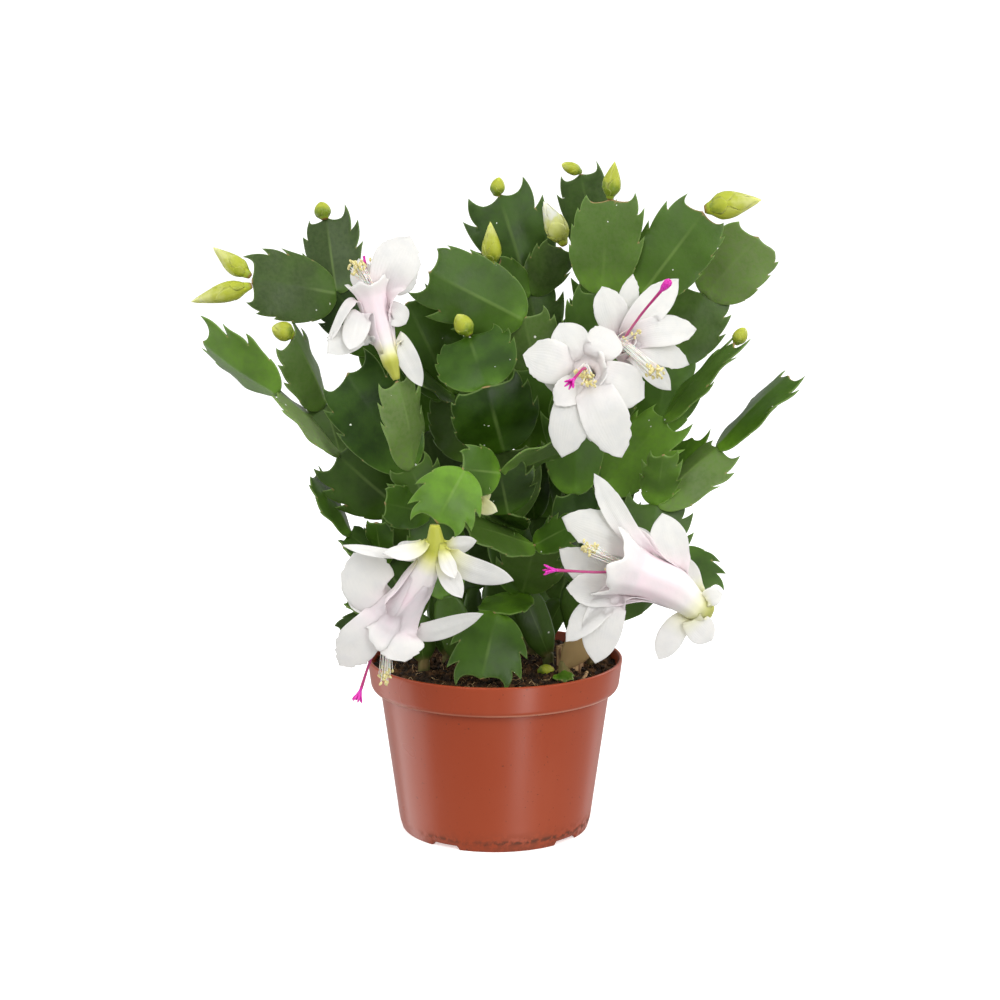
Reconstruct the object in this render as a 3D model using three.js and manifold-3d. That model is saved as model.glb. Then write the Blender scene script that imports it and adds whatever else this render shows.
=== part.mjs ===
// A potted Christmas cactus (a truncata Schlumbergera) in a 12 cm nursery pot.
// Millimetres, +Z up. The origin is on the table, under the centre of the pot.
// The model is seen from the front along +Y, with +X to the right.

import * as THREE from "three";
import { mergeVertices } from "three/addons/utils/BufferGeometryUtils.js";
import Module from "manifold-3d";

const wasm = await Module();
wasm.setup();

// Driving dimensions
const CLEARANCE = 0.35;

const POT = {
  height: 82,
  rimRadius: 60,
  bandHeight: 14.5,
  bandRadius: 58.4,
  wallTopRadius: 54.2,
  wallFootRadius: 45.4,
  footRadius: 44.2,
  footHeight: 4.2,
  footWidth: 2.6,
  wall: 1.5,
  floorBottom: 2.4,
  floorThickness: 2,
  sides: 30,
};
const FOOT_NOTCH = { angles: [-32, 49, 139, 229], width: 14, height: 2 };
const DRAIN = { count: 4, ringRadius: 26, radius: 4 };

const SOIL = {
  edgeHeight: 77,
  crown: 2.5,
  relief: 0.8,
  rings: 4,
  sides: 24,
};
const STEM_PEG = { radius: 3, topRadius: 2.4, bottom: 66, above: 5, sides: 6 };

const SEGMENT = {
  ribHalfThickness: 1.1,
  oldHalfThickness: 2.2,
  edgeHalfThickness: 0.38,
  sink: 1.8,
  skew: 0.035,
};

// Colours of the real pieces
const COLOUR = {
  pot: 0xa8492f,
  soil: 0x2b1c13,
  stem: 0x4d7528,
  bud: 0xb6c23f,
  petal: 0xeceae6,
  style: 0xc0169a,
  stamen: 0xe9dfa6,
  cork: 0x8a6a45,
};

function material(name) {
  const roughness = name === "soil" || name === "cork" ? 0.95 : 0.5;
  return new THREE.MeshStandardMaterial({ color: COLOUR[name], roughness, metalness: 0 });
}

// Solids: a closed mesh becomes a manifold, and a manifold becomes a geometry again

function solidOf(vertices, triangles) {
  const mesh = new wasm.Mesh({
    numProp: 3,
    vertProperties: new Float32Array(vertices.flatMap((p) => [p.x, p.y, p.z])),
    triVerts: new Uint32Array(triangles.flat()),
  });
  return new wasm.Manifold(mesh);
}

function solidOfGeometry(geometry) {
  const bare = geometry.clone();
  bare.deleteAttribute("normal");
  bare.deleteAttribute("uv");
  const merged = mergeVertices(bare, 1e-4);
  const mesh = new wasm.Mesh({
    numProp: 3,
    vertProperties: new Float32Array(merged.attributes.position.array),
    triVerts: new Uint32Array(merged.index.array),
  });
  mesh.merge();
  return new wasm.Manifold(mesh);
}

function geometryOf(solid) {
  const mesh = solid.getMesh();
  const geometry = new THREE.BufferGeometry();
  geometry.setAttribute("position", new THREE.BufferAttribute(mesh.vertProperties, 3));
  geometry.setIndex(new THREE.BufferAttribute(mesh.triVerts, 1));
  geometry.computeVertexNormals();
  return geometry;
}

const SMOOTHING = 0.32;

function fuse(solids) {
  return solids.reduce((whole, piece) => whole.add(piece)).asOriginal().simplify(SMOOTHING);
}

const plant = new THREE.Group();

function addPiece(name, solid, colour) {
  const mesh = new THREE.Mesh(geometryOf(solid), material(colour));
  mesh.name = name;
  plant.add(mesh);
}

const point = (row) => new THREE.Vector3(row[0], row[1], row[2]);
const radians = THREE.MathUtils.degToRad;

// A lathe stands on +Z: its profile rows are [radius, height]
function turned(profile, sides) {
  const lathe = new THREE.LatheGeometry(profile.map(([r, z]) => new THREE.Vector2(r, z)), sides);
  lathe.rotateX(Math.PI / 2);
  return solidOfGeometry(lathe);
}

function upright(radiusTop, radiusBottom, height, sides, [x, y, z]) {
  const cylinder = new THREE.CylinderGeometry(radiusTop, radiusBottom, height, sides);
  cylinder.rotateX(Math.PI / 2);
  cylinder.translate(x, y, z + height / 2);
  return solidOfGeometry(cylinder);
}

// Pot: a thin moulded shell with a taller band under its rim, a raised floor and a foot ring

function wallRadiusAt(z) {
  const share = (z - POT.footHeight) / (POT.height - POT.bandHeight - POT.footHeight);
  return THREE.MathUtils.lerp(POT.wallFootRadius, POT.wallTopRadius, share);
}

function makePot() {
  const bandBottom = POT.height - POT.bandHeight;
  const floorTop = POT.floorBottom + POT.floorThickness;
  const profile = [
    [0, POT.floorBottom],
    [POT.footRadius - POT.footWidth - 0.8, POT.floorBottom],
    [POT.footRadius - POT.footWidth, 0],
    [POT.footRadius, 0],
    [POT.wallFootRadius, POT.footHeight + 0.4],
    [POT.wallTopRadius, bandBottom],
    [POT.bandRadius - 1, bandBottom],
    [POT.bandRadius, bandBottom + 1.4],
    [POT.rimRadius, POT.height - 0.9],
    [POT.rimRadius - 0.6, POT.height],
    [POT.rimRadius - POT.wall, POT.height - 0.2],
    [POT.bandRadius - POT.wall - 0.5, bandBottom + 2],
    [POT.wallTopRadius - POT.wall, bandBottom - 1],
    [wallRadiusAt(floorTop + 2) - POT.wall, floorTop + 2],
    [wallRadiusAt(floorTop) - POT.wall - 2, floorTop],
    [0, floorTop],
  ];
  let pot = turned(profile, POT.sides);
  for (const angle of FOOT_NOTCH.angles) {
    const notch = new THREE.BoxGeometry(FOOT_NOTCH.width, 8, FOOT_NOTCH.height * 2);
    notch.translate(0, -POT.footRadius + 1, 0);
    notch.rotateZ(radians(angle));
    pot = pot.subtract(solidOfGeometry(notch));
  }
  for (let i = 0; i < DRAIN.count; i += 1) {
    const angle = (i * 2 * Math.PI) / DRAIN.count;
    const place = [DRAIN.ringRadius * Math.cos(angle), DRAIN.ringRadius * Math.sin(angle), 0];
    pot = pot.subtract(upright(DRAIN.radius, DRAIN.radius, 10, 6, place));
  }
  addPiece("pot", pot, "pot");
}

// Soil: one body that fills the pot, crumbly on top, with a plain hole for each stem

function soilHeight(x, y) {
  const reach = Math.hypot(x, y) / (POT.rimRadius - POT.wall);
  const crumbs =
    Math.sin(x * 0.61 + y * 0.23) * Math.cos(y * 0.57 - x * 0.31) + 0.6 * Math.sin(x * 0.27 - y * 0.83);
  return SOIL.edgeHeight + SOIL.crown * (1 - reach * reach) + SOIL.relief * crumbs;
}

function makeSoil(holes, pockets) {
  const bandBottom = POT.height - POT.bandHeight;
  const floorTop = POT.floorBottom + POT.floorThickness;
  const topRadius = POT.rimRadius - POT.wall - 1.4 - CLEARANCE;
  const under = [
    [topRadius - 1.2, bandBottom + 3.4],
    [POT.wallTopRadius - POT.wall - CLEARANCE - 0.4, bandBottom - 1],
    [wallRadiusAt(floorTop + 3) - POT.wall - CLEARANCE - 0.2, floorTop + 3],
    [wallRadiusAt(floorTop) - POT.wall - 2 - CLEARANCE, floorTop + CLEARANCE],
  ];
  const vertices = [];
  const triangles = [];
  const addRing = (radius, height) => {
    for (let i = 0; i < SOIL.sides; i += 1) {
      const angle = (i * 2 * Math.PI) / SOIL.sides;
      const x = radius * Math.cos(angle);
      const y = radius * Math.sin(angle);
      vertices.push(new THREE.Vector3(x, y, height ?? soilHeight(x, y)));
    }
  };
  vertices.push(new THREE.Vector3(0, 0, soilHeight(0, 0)));
  for (let ring = 1; ring <= SOIL.rings; ring += 1) {
    addRing((topRadius * ring) / SOIL.rings);
  }
  for (const [radius, height] of under) {
    addRing(radius, height);
  }
  vertices.push(new THREE.Vector3(0, 0, floorTop + CLEARANCE));
  const rings = SOIL.rings + under.length;
  for (let i = 0; i < SOIL.sides; i += 1) {
    const next = (i + 1) % SOIL.sides;
    triangles.push([0, 1 + i, 1 + next]);
    for (let ring = 0; ring < rings - 1; ring += 1) {
      const inner = 1 + ring * SOIL.sides;
      const outer = inner + SOIL.sides;
      triangles.push([inner + i, outer + i, outer + next], [inner + i, outer + next, inner + next]);
    }
    const last = 1 + (rings - 1) * SOIL.sides;
    triangles.push([last + i, vertices.length - 1, last + next]);
  }
  let soil = solidOf(vertices, triangles);
  for (const [x, y] of holes) {
    const radius = STEM_PEG.radius + CLEARANCE;
    const bottom = STEM_PEG.bottom - CLEARANCE;
    soil = soil.subtract(upright(radius, radius, POT.height - bottom, STEM_PEG.sides, [x, y, bottom]));
  }
  for (const pocket of pockets) {
    soil = soil.subtract(pocket);
  }
  addPiece("soil", soil, "soil");
}

// A blade is a thin closed leaf shape. Its outline rows are [along, across] for one half, base first.
// place(along, across, side) gives the point on its front (side 1) or back (side -1).

function bladeSolid(outline, ribs, place) {
  const edge = outline.length;
  const flat = [[0, 0], ...outline, [1, 0], ...ribs.map((along) => [along, 0])];
  const mirrored = outline.map(([along, across]) => [along, -across]);
  const spots = [...flat, ...mirrored];
  const tip = edge + 1;
  const firstRib = tip + 1;
  const firstMirrored = flat.length;
  const ribOrder = ribs.map((_, i) => firstRib + ribs.length - 1 - i);
  const order = [0, ...outline.map((_, i) => i + 1), tip, ...ribOrder];
  const contour = order.map((i) => new THREE.Vector2(spots[i][1], spots[i][0]));
  const half = THREE.ShapeUtils.triangulateShape(contour, []).map((face) => face.map((i) => order[i]));
  const mirror = (i) => (i >= 1 && i <= edge ? firstMirrored + i - 1 : i);
  const front = [...half, ...half.map(([a, b, c]) => [mirror(a), mirror(c), mirror(b)])];
  const back = front.map(([a, b, c]) => [a + spots.length, c + spots.length, b + spots.length]);
  const right = outline.map((_, i) => i + 1);
  const left = outline.map((_, i) => firstMirrored + edge - 1 - i);
  const loop = [0, ...right, tip, ...left];
  const walls = loop.flatMap((a, i) => {
    const b = loop[(i + 1) % loop.length];
    return [[b, a, a + spots.length], [b, a + spots.length, b + spots.length]];
  });
  const vertices = [1, -1].flatMap((side) => spots.map(([along, across]) => place(along, across, side)));
  return solidOf(vertices, [...front, ...back, ...walls]);
}

// The directions of a flat piece: along it, out of its face, and across it.
// With no turn its face looks to the front and a little up, as far as it can.
const FRONT = new THREE.Vector3(0, -1, 0.22);

function directions(base, tip, turn) {
  const along = tip.clone().sub(base).normalize();
  const face = FRONT.clone().addScaledVector(along, -FRONT.dot(along)).normalize();
  face.applyAxisAngle(along, radians(turn));
  const across = along.clone().cross(face);
  return { along, face, across, length: tip.distanceTo(base) };
}

// Stem segment: a flat joint with hooked teeth on both edges and two horns beside its blunt tip

const SEGMENT_OUTLINE = [
  [0, 0.12],
  [0.2, 0.7],
  [0.62, 1.04],
  [0.6, 0.86],
  [0.88, 0.96],
  [0.82, 0.73],
  [1.07, 0.62],
  [0.98, 0.38],
];
const SEGMENT_RIBS = [0.3, 0.7];
// A plain segment, inside the bush or behind it, has one tooth less on each edge
const PLAIN_OUTLINE = [
  [0, 0.1],
  [0.13, 0.54],
  [0.42, 0.95],
  [0.86, 1],
  [0.8, 0.77],
  [1.07, 0.62],
  [0.98, 0.38],
];
// An old segment at the foot of a shoot has turned into a woody stem with no teeth
const OLD_OUTLINE = [
  [0, 0.3],
  [0.25, 0.85],
  [0.75, 1],
  [1, 0.5],
];
const OUTLINES = { toothed: SEGMENT_OUTLINE, plain: PLAIN_OUTLINE, old: OLD_OUTLINE };

function segmentSolid({ base, tip, width, turn, bow, fold, kind }) {
  const { along, face, across, length } = directions(base, tip, turn);
  const half = width / 2;
  const place = (t, s, side) => {
    const ribHalf = kind === "old" ? SEGMENT.oldHalfThickness : SEGMENT.ribHalfThickness;
    const rib = ribHalf - SEGMENT.edgeHalfThickness;
    const thickness = SEGMENT.edgeHalfThickness + rib * Math.max(0, 1 - Math.abs(s));
    const lean = t * (1 + (t < 1 ? SEGMENT.skew * s * t : 0));
    const rise = bow * 4 * t * (1 - t) - fold * Math.abs(s) * half;
    return base
      .clone()
      .addScaledVector(along, lean * length)
      .addScaledVector(across, s * half)
      .addScaledVector(face, rise + side * thickness);
  };
  return bladeSolid(OUTLINES[kind], kind === "toothed" ? SEGMENT_RIBS : [0.5], place);
}

// Shoots: each is one rooted plant. A row gives a segment's name, what it grows from, its tip
// [x, y, z], its width, its turn in degrees, its bow in mm and its fold. The first is an old one, and
// those named in plain are plain ones.
const SHOOTS = {
  left: {
    root: [-22, -4],
    plain: ["l2", "l6"],
    segments: [
      ["l1", "root", [-26, -4, 114], 15, 20, 0, 0],
      ["l2", "l1", [-44, -12, 156], 30, 10, 2, 0],
      ["l3", "l2", [-72, -18, 181], 35, -10, 2, 0.1],
      ["l4", "l3", [-99, -20, 210], 31, 78, 1, 0.1],
      ["l5", "l4", [-132, -14, 231], 31, -58, 1, 0.35],
      ["l6", "l3", [-79, -2, 202], 20, 30, 0, 0.1],
      ["l7", "l6", [-92, -14, 234], 29, 58, 1, 0.35],
    ],
  },
  left_tall: {
    root: [-12, 10],
    plain: ["t2", "t3"],
    segments: [
      ["t1", "root", [-10, 12, 112], 15, 60, 0, 0],
      ["t2", "t1", [-19, 15, 148], 30, 20, 1, 0],
      ["t3", "t2", [-33, 16, 187], 34, -15, 2, 0],
      ["t4", "t3", [-51, 12, 228], 34, 10, -1, 0.1],
      ["t5", "t4", [-74, 6, 253], 32, 0, 1, 0.1],
      ["t6", "t5", [-111, -8, 259], 33, 8, 2, 0.1],
      ["t7", "t5", [-78, 18, 286], 27, -15, 0, 0.1],
    ],
  },
  left_front: {
    root: [-14, -26],
    plain: ["g2", "g6"],
    segments: [
      ["g1", "root", [-22, -31, 118], 16, -20, 0, 0],
      ["g2", "g1", [-29, -34, 158], 28, 15, 0, 0],
      ["g3", "g2", [-38, -42, 179], 24, 0, 0, 0.1],
      ["g4", "g3", [-43, -51, 218], 24, 40, 2, 0.15],
      ["g5", "g3", [-66, -33, 219], 36, -5, 2, 0.1],
      ["g6", "g2", [-49, -46, 163], 20, 0, 0, 0],
    ],
  },
  left_low: {
    root: [-33, -16],
    plain: ["a3", "a5", "a6", "a8", "a9"],
    segments: [
      ["a1", "root", [-36, -20, 106], 14, 0, 0, 0],
      ["a2", "a1", [-52, -17, 131], 26, 10, 1, 0],
      ["a3", "a2", [-68, -14, 143], 19, 40, 0, 0],
      ["a4", "a3", [-82, -10, 171], 25, 72, 0, 0.1],
      ["a5", "a2", [-69, -30, 140], 18, 70, 0, 0],
      ["a6", "a2", [-54, -26, 151], 15, -30, 0, 0.1],
      ["a7", "a1", [-53, -25, 106], 17, 0, 0, 0],
      ["a8", "a7", [-68, -22, 114], 14, 60, 0, 0],
      ["a9", "a7", [-71, -27, 98], 16, 0, 0, 0],
    ],
  },
  centre: {
    root: [25, -6],
    plain: ["c2", "c3", "c6", "c7", "f2", "h5"],
    segments: [
      ["h1", "root", [12, -11, 116], 16, 10, 0, 0.2],
      ["c2", "h1", [4, -18, 150], 26, 30, 0, 0],
      ["c3", "c2", [4, -30, 185], 34, 0, 0, 0],
      ["c4", "c3", [-4, -48, 216], 39, 0, 2, 0.1],
      ["c5", "c4", [-12, -30, 236], 37, 0, 2, 0.1],
      ["c6", "c2", [-8, -5, 178], 28, 0, 0, 0],
      ["c7", "c6", [-20, -3, 207], 32, 0, 0, 0],
      ["c8", "c7", [-40, -8, 249], 33, 0, 2, 0.1],
      ["c9", "c7", [-41, -26, 223], 26, 70, 0, 0],
      ["h2", "h1", [18, -34, 142], 29, 0, 1, 0.1],
      ["h3", "h2", [-14, -48, 154], 27, 62, 0, 0.1],
      ["h4", "h2", [35, -33, 150], 20, -40, 0, 0],
      ["h5", "h1", [0, -37, 111], 24, 50, 0, 0],
      ["h6", "h5", [-6, -52, 84], 32, 0, 1, 0.1],
      ["f2", "c2", [6, -42, 158], 22, 0, 0, 0],
      ["f3", "f2", [2, -60, 180], 28, 0, 0, 0],
      ["f4", "f3", [31, -50, 188], 28, 76, 0, 0.1],
      ["f5", "f3", [-14, -75, 183], 22, 0, 0, 0],
      ["f6", "f5", [-25, -86, 162], 31, 0, 2, 0.15],
    ],
  },
  top: {
    root: [3, 10],
    plain: ["u2", "u3", "u4", "u8", "e1"],
    segments: [
      ["u1", "root", [14, 14, 110], 15, -30, 0, 0],
      ["u2", "u1", [19, 18, 146], 30, -20, 1, 0],
      ["u3", "u2", [24, 16, 182], 32, 15, 1, 0],
      ["u4", "u3", [24, 18, 218], 30, 0, 1, 0],
      ["u5", "u4", [16, 20, 252], 29, 0, 0, 0.1],
      ["u6", "u5", [2, 26, 296], 37, 0, 1, 0.15],
      ["u7", "u5", [30, 10, 273], 20, 10, 0, 0.1],
      ["u8", "u5", [0, 6, 264], 18, 0, 0, 0],
      ["e1", "u2", [15, -5, 181], 18, 0, 0, 0],
      ["e2", "e1", [19, -6, 219], 32, 10, 1, 0],
      ["e3", "e2", [13, -12, 243], 29, 0, 0, 0.1],
      ["e4", "e3", [-29, -24, 264], 35, -5, 2, 0.12],
    ],
  },
  right_top: {
    root: [18, 10],
    plain: ["r2", "r3", "r4", "r7", "r10", "r13", "r14"],
    segments: [
      ["r1", "root", [31, 6, 108], 15, 30, 0, 0],
      ["r2", "r1", [38, 8, 146], 28, 25, 0, 0],
      ["r3", "r2", [43, 6, 184], 32, -10, 1, 0],
      ["r4", "r3", [43, 2, 212], 26, 0, 0, 0],
      ["r5", "r4", [49, -4, 254], 31, 0, 1, 0.1],
      ["r6", "r5", [52, -6, 296], 33, -8, 2, -0.2],
      ["r7", "r3", [50, 29, 224], 26, 65, 0, 0],
      ["r8", "r7", [51, 31, 264], 28, 20, 0, 0],
      ["r9", "r8", [40, 31, 306], 26, -10, 1, 0.1],
      ["r10", "r3", [56, -4, 217], 26, 0, 0, 0],
      ["r11", "r10", [67, -8, 254], 30, 0, 0, 0],
      ["r12", "r11", [94, -12, 290], 33, 0, 2, 0.1],
      ["r13", "r3", [62, -13, 211], 16, 0, 0, 0],
      ["r14", "r3", [50, -14, 202], 20, 0, 0, 0],
    ],
  },
  right: {
    root: [46, -2],
    plain: ["s5", "d2"],
    segments: [
      ["s1", "root", [39, -11, 121], 22, 0, 0, 0.1],
      ["s2", "s1", [50, -16, 165], 34, 0, 1, 0.1],
      ["s3", "s2", [78, -18, 197], 31, -30, 1, 0.1],
      ["s4", "s3", [108, -20, 232], 31, -74, 1, 0.1],
      ["s5", "s2", [75, 8, 187], 26, 0, 0, 0],
      ["s6", "s5", [81, 10, 221], 32, 0, 1, 0],
      ["s7", "s6", [98, 12, 252], 32, 0, 1, 0.1],
      ["s8", "s7", [120, 6, 278], 35, 0, 1, 0.1],
      ["d2", "s1", [36, -21, 164], 27, 15, 0, 0],
      ["d3", "d2", [36, -22, 206], 28, 0, 0, 0.1],
    ],
  },
  right_low: {
    root: [32, -24],
    plain: ["k2", "k6"],
    segments: [
      ["k1", "root", [50, -30, 109], 15, 0, 0, 0],
      ["k2", "k1", [70, -38, 131], 24, 0, 0, 0],
      ["k3", "k2", [73, -29, 161], 33, 0, 1, 0.1],
      ["k4", "k3", [102, -24, 185], 25, -40, 1, 0.4],
      ["k5", "k4", [133, -20, 217], 30, -70, 1, 0.1],
      ["k6", "k2", [83, -44, 143], 14, 0, 0, 0],
      ["k7", "k6", [93, -57, 124], 24, 0, 1, 0.1],
      ["k8", "k3", [91, -8, 187], 22, -50, 0, 0],
      ["k9", "k3", [75, -41, 184], 17, 0, 0, 0],
    ],
  },
  back_left: {
    root: [-12, 28],
    plain: ["b2", "b3", "b4", "b5", "b6", "b7", "b8"],
    segments: [
      ["b1", "root", [-18, 38, 112], 15, 0, 0, 0],
      ["b2", "b1", [-28, 50, 148], 30, 40, 1, 0.1],
      ["b3", "b2", [-38, 58, 188], 33, -35, 1, 0.1],
      ["b4", "b3", [-44, 72, 222], 32, 50, 1, 0.1],
      ["b5", "b2", [-12, 74, 172], 31, -50, 1, 0.1],
      ["b6", "b5", [-4, 86, 208], 32, 30, 1, 0.1],
      ["b7", "b1", [-36, 62, 112], 28, 0, -2, 0.1],
      ["b8", "b7", [-46, 92, 98], 31, 20, -2, 0.1],
    ],
  },
  back_right: {
    root: [14, 30],
    plain: ["q2", "q3", "q4", "q5", "q6", "q7", "q8"],
    segments: [
      ["q1", "root", [24, 40, 112], 15, 0, 0, 0],
      ["q2", "q1", [34, 50, 150], 30, -40, 1, 0.1],
      ["q3", "q2", [44, 56, 190], 32, 45, 1, 0.1],
      ["q4", "q3", [54, 66, 222], 32, -55, 1, 0.1],
      ["q5", "q2", [58, 68, 166], 30, 50, 1, 0.1],
      ["q6", "q5", [74, 82, 192], 31, -30, 1, 0.1],
      ["q7", "q1", [44, 64, 110], 28, 0, -2, 0.1],
      ["q8", "q7", [62, 86, 98], 31, -20, -2, 0.1],
    ],
  },
  back: {
    root: [2, 24],
    plain: ["m2", "m3", "m4", "m5", "m6", "m7"],
    segments: [
      ["m1", "root", [1, 30, 114], 15, 0, 0, 0],
      ["m2", "m1", [4, 38, 152], 30, 60, 1, 0],
      ["m3", "m2", [-4, 42, 192], 32, -50, 1, 0],
      ["m4", "m3", [-14, 46, 230], 31, 40, 1, 0.1],
      ["m5", "m3", [12, 50, 226], 30, -40, 1, 0.1],
      ["m6", "m1", [4, 64, 126], 28, 0, 1, 0.1],
      ["m7", "m6", [12, 92, 140], 31, 0, 1, 0.1],
    ],
  },
};

// Where each segment starts and ends: it starts just inside the tip of what it grows from
function placedSegments(shoot) {
  const [x, y] = shoot.root;
  const rootTop = new THREE.Vector3(x, y, SOIL.edgeHeight + SOIL.crown + STEM_PEG.above);
  const placed = { root: { tip: rootTop, into: new THREE.Vector3(0, 0, -STEM_PEG.above / 3) } };
  for (const [name, from, tipRow, width, turn, bow, fold] of shoot.segments) {
    const young = shoot.plain?.includes(name) ? "plain" : "toothed";
    const kind = from === "root" ? "old" : young;
    const parent = placed[from];
    const base = parent.tip.clone().add(parent.into);
    const tip = point(tipRow);
    const into = base.clone().sub(tip).setLength(SEGMENT.sink);
    placed[name] = { base, tip, into, width, turn, bow, fold, kind };
  }
  return placed;
}

const segmentTips = {};

function makeShoot(name, shoot) {
  const placed = placedSegments(shoot);
  const [x, y] = shoot.root;
  const pegHeight = placed.root.tip.z + 1 - STEM_PEG.bottom;
  const { topRadius, radius, sides, bottom } = STEM_PEG;
  const solids = [upright(topRadius, radius, pegHeight, sides, [x, y, bottom])];
  delete placed.root;
  solids.push(...Object.values(placed).map(segmentSolid));
  const solid = fuse(solids);
  addPiece(`shoot_${name}`, solid, "stem");
  for (const [segment, place] of Object.entries(placed)) {
    segmentTips[segment] = { ...place, shoot: solid };
  }
}

// Buds: a row gives the segment that bears the bud, the bud's tip [x, y, z], its radius, and how far
// to the side of the segment's tip it sits
const BUDS = {
  left_edge: ["l7", [-101, -18, 239], 4.4],
  left_upper: ["t6", [-129, -4, 274], 4.4, 2.4],
  left_lower: ["t6", [-139, -14, 250], 4.6, -2.4],
  left_tall: ["t7", [-81, 20, 294], 3.8],
  centre: ["c5", [-17, -31, 246], 4.2],
  pointed: ["u8", [-2, 4, 285], 4.4],
  top: ["u6", [2, 26, 305], 3.4],
  opening: ["u7", [22, 6, 294], 5.2, 0.6],
  top_right: ["r9", [31, 24, 311], 2.8],
  tall: ["r6", [54, -8, 313], 4.2],
  large: ["r12", [120, -14, 296], 6.2],
  right_edge: ["s4", [113, -20, 239], 3.2],
  back_left: ["b4", [-47, 78, 236], 4],
  back: ["m4", [-16, 50, 246], 4.2],
  back_right: ["q6", [82, 88, 205], 4.2],
};
// A bud's profile rows are [share of its radius, share of its length]
const BUD_PROFILE = [
  [0, 0],
  [0.42, 0.01],
  [0.96, 0.34],
  [0.8, 0.7],
  [0, 1],
];
const BUD_SIDES = 6;

// A lathe whose axis runs from one point to another: its profile rows are [radius, distance]
function spindle(base, tip, profile, sides) {
  const lathe = new THREE.LatheGeometry(profile.map(([r, z]) => new THREE.Vector2(r, z)), sides);
  const axis = tip.clone().sub(base).normalize();
  lathe.applyQuaternion(new THREE.Quaternion().setFromUnitVectors(new THREE.Vector3(0, 1, 0), axis));
  lathe.translate(base.x, base.y, base.z);
  return solidOfGeometry(lathe);
}

// The point just clear of a segment's tip where the round foot of a bud or bloom stands
function footOn(bearer, towards, footRadius, aside) {
  const segment = segmentTips[bearer];
  const { along, across } = directions(segment.base, segment.tip, segment.turn);
  const foot = segment.tip.clone().addScaledVector(across, aside);
  const slant = towards.clone().sub(foot).normalize().cross(along).length();
  return foot.addScaledVector(along, footRadius * slant + 1.5 * CLEARANCE);
}

function makeBud(name, [bearer, tipRow, radius, aside = 0]) {
  const tip = point(tipRow);
  const base = footOn(bearer, tip, radius * BUD_PROFILE[1][0], aside);
  const length = tip.distanceTo(base);
  const profile = BUD_PROFILE.map(([r, z]) => [r * radius, z * length]);
  const bud = spindle(base, tip, profile, BUD_SIDES);
  addPiece(`bud_${name}`, seated(bud, segmentTips[bearer]), "bud");
}

// Slides a bud along the segment that bears it until just the clearance is left between them
function seated(bud, { base, tip, shoot }) {
  const spare = bud.minGap(shoot, 5) - CLEARANCE;
  const slide = base.clone().sub(tip).setLength(spare);
  return bud.translate(slide.toArray());
}

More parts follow.
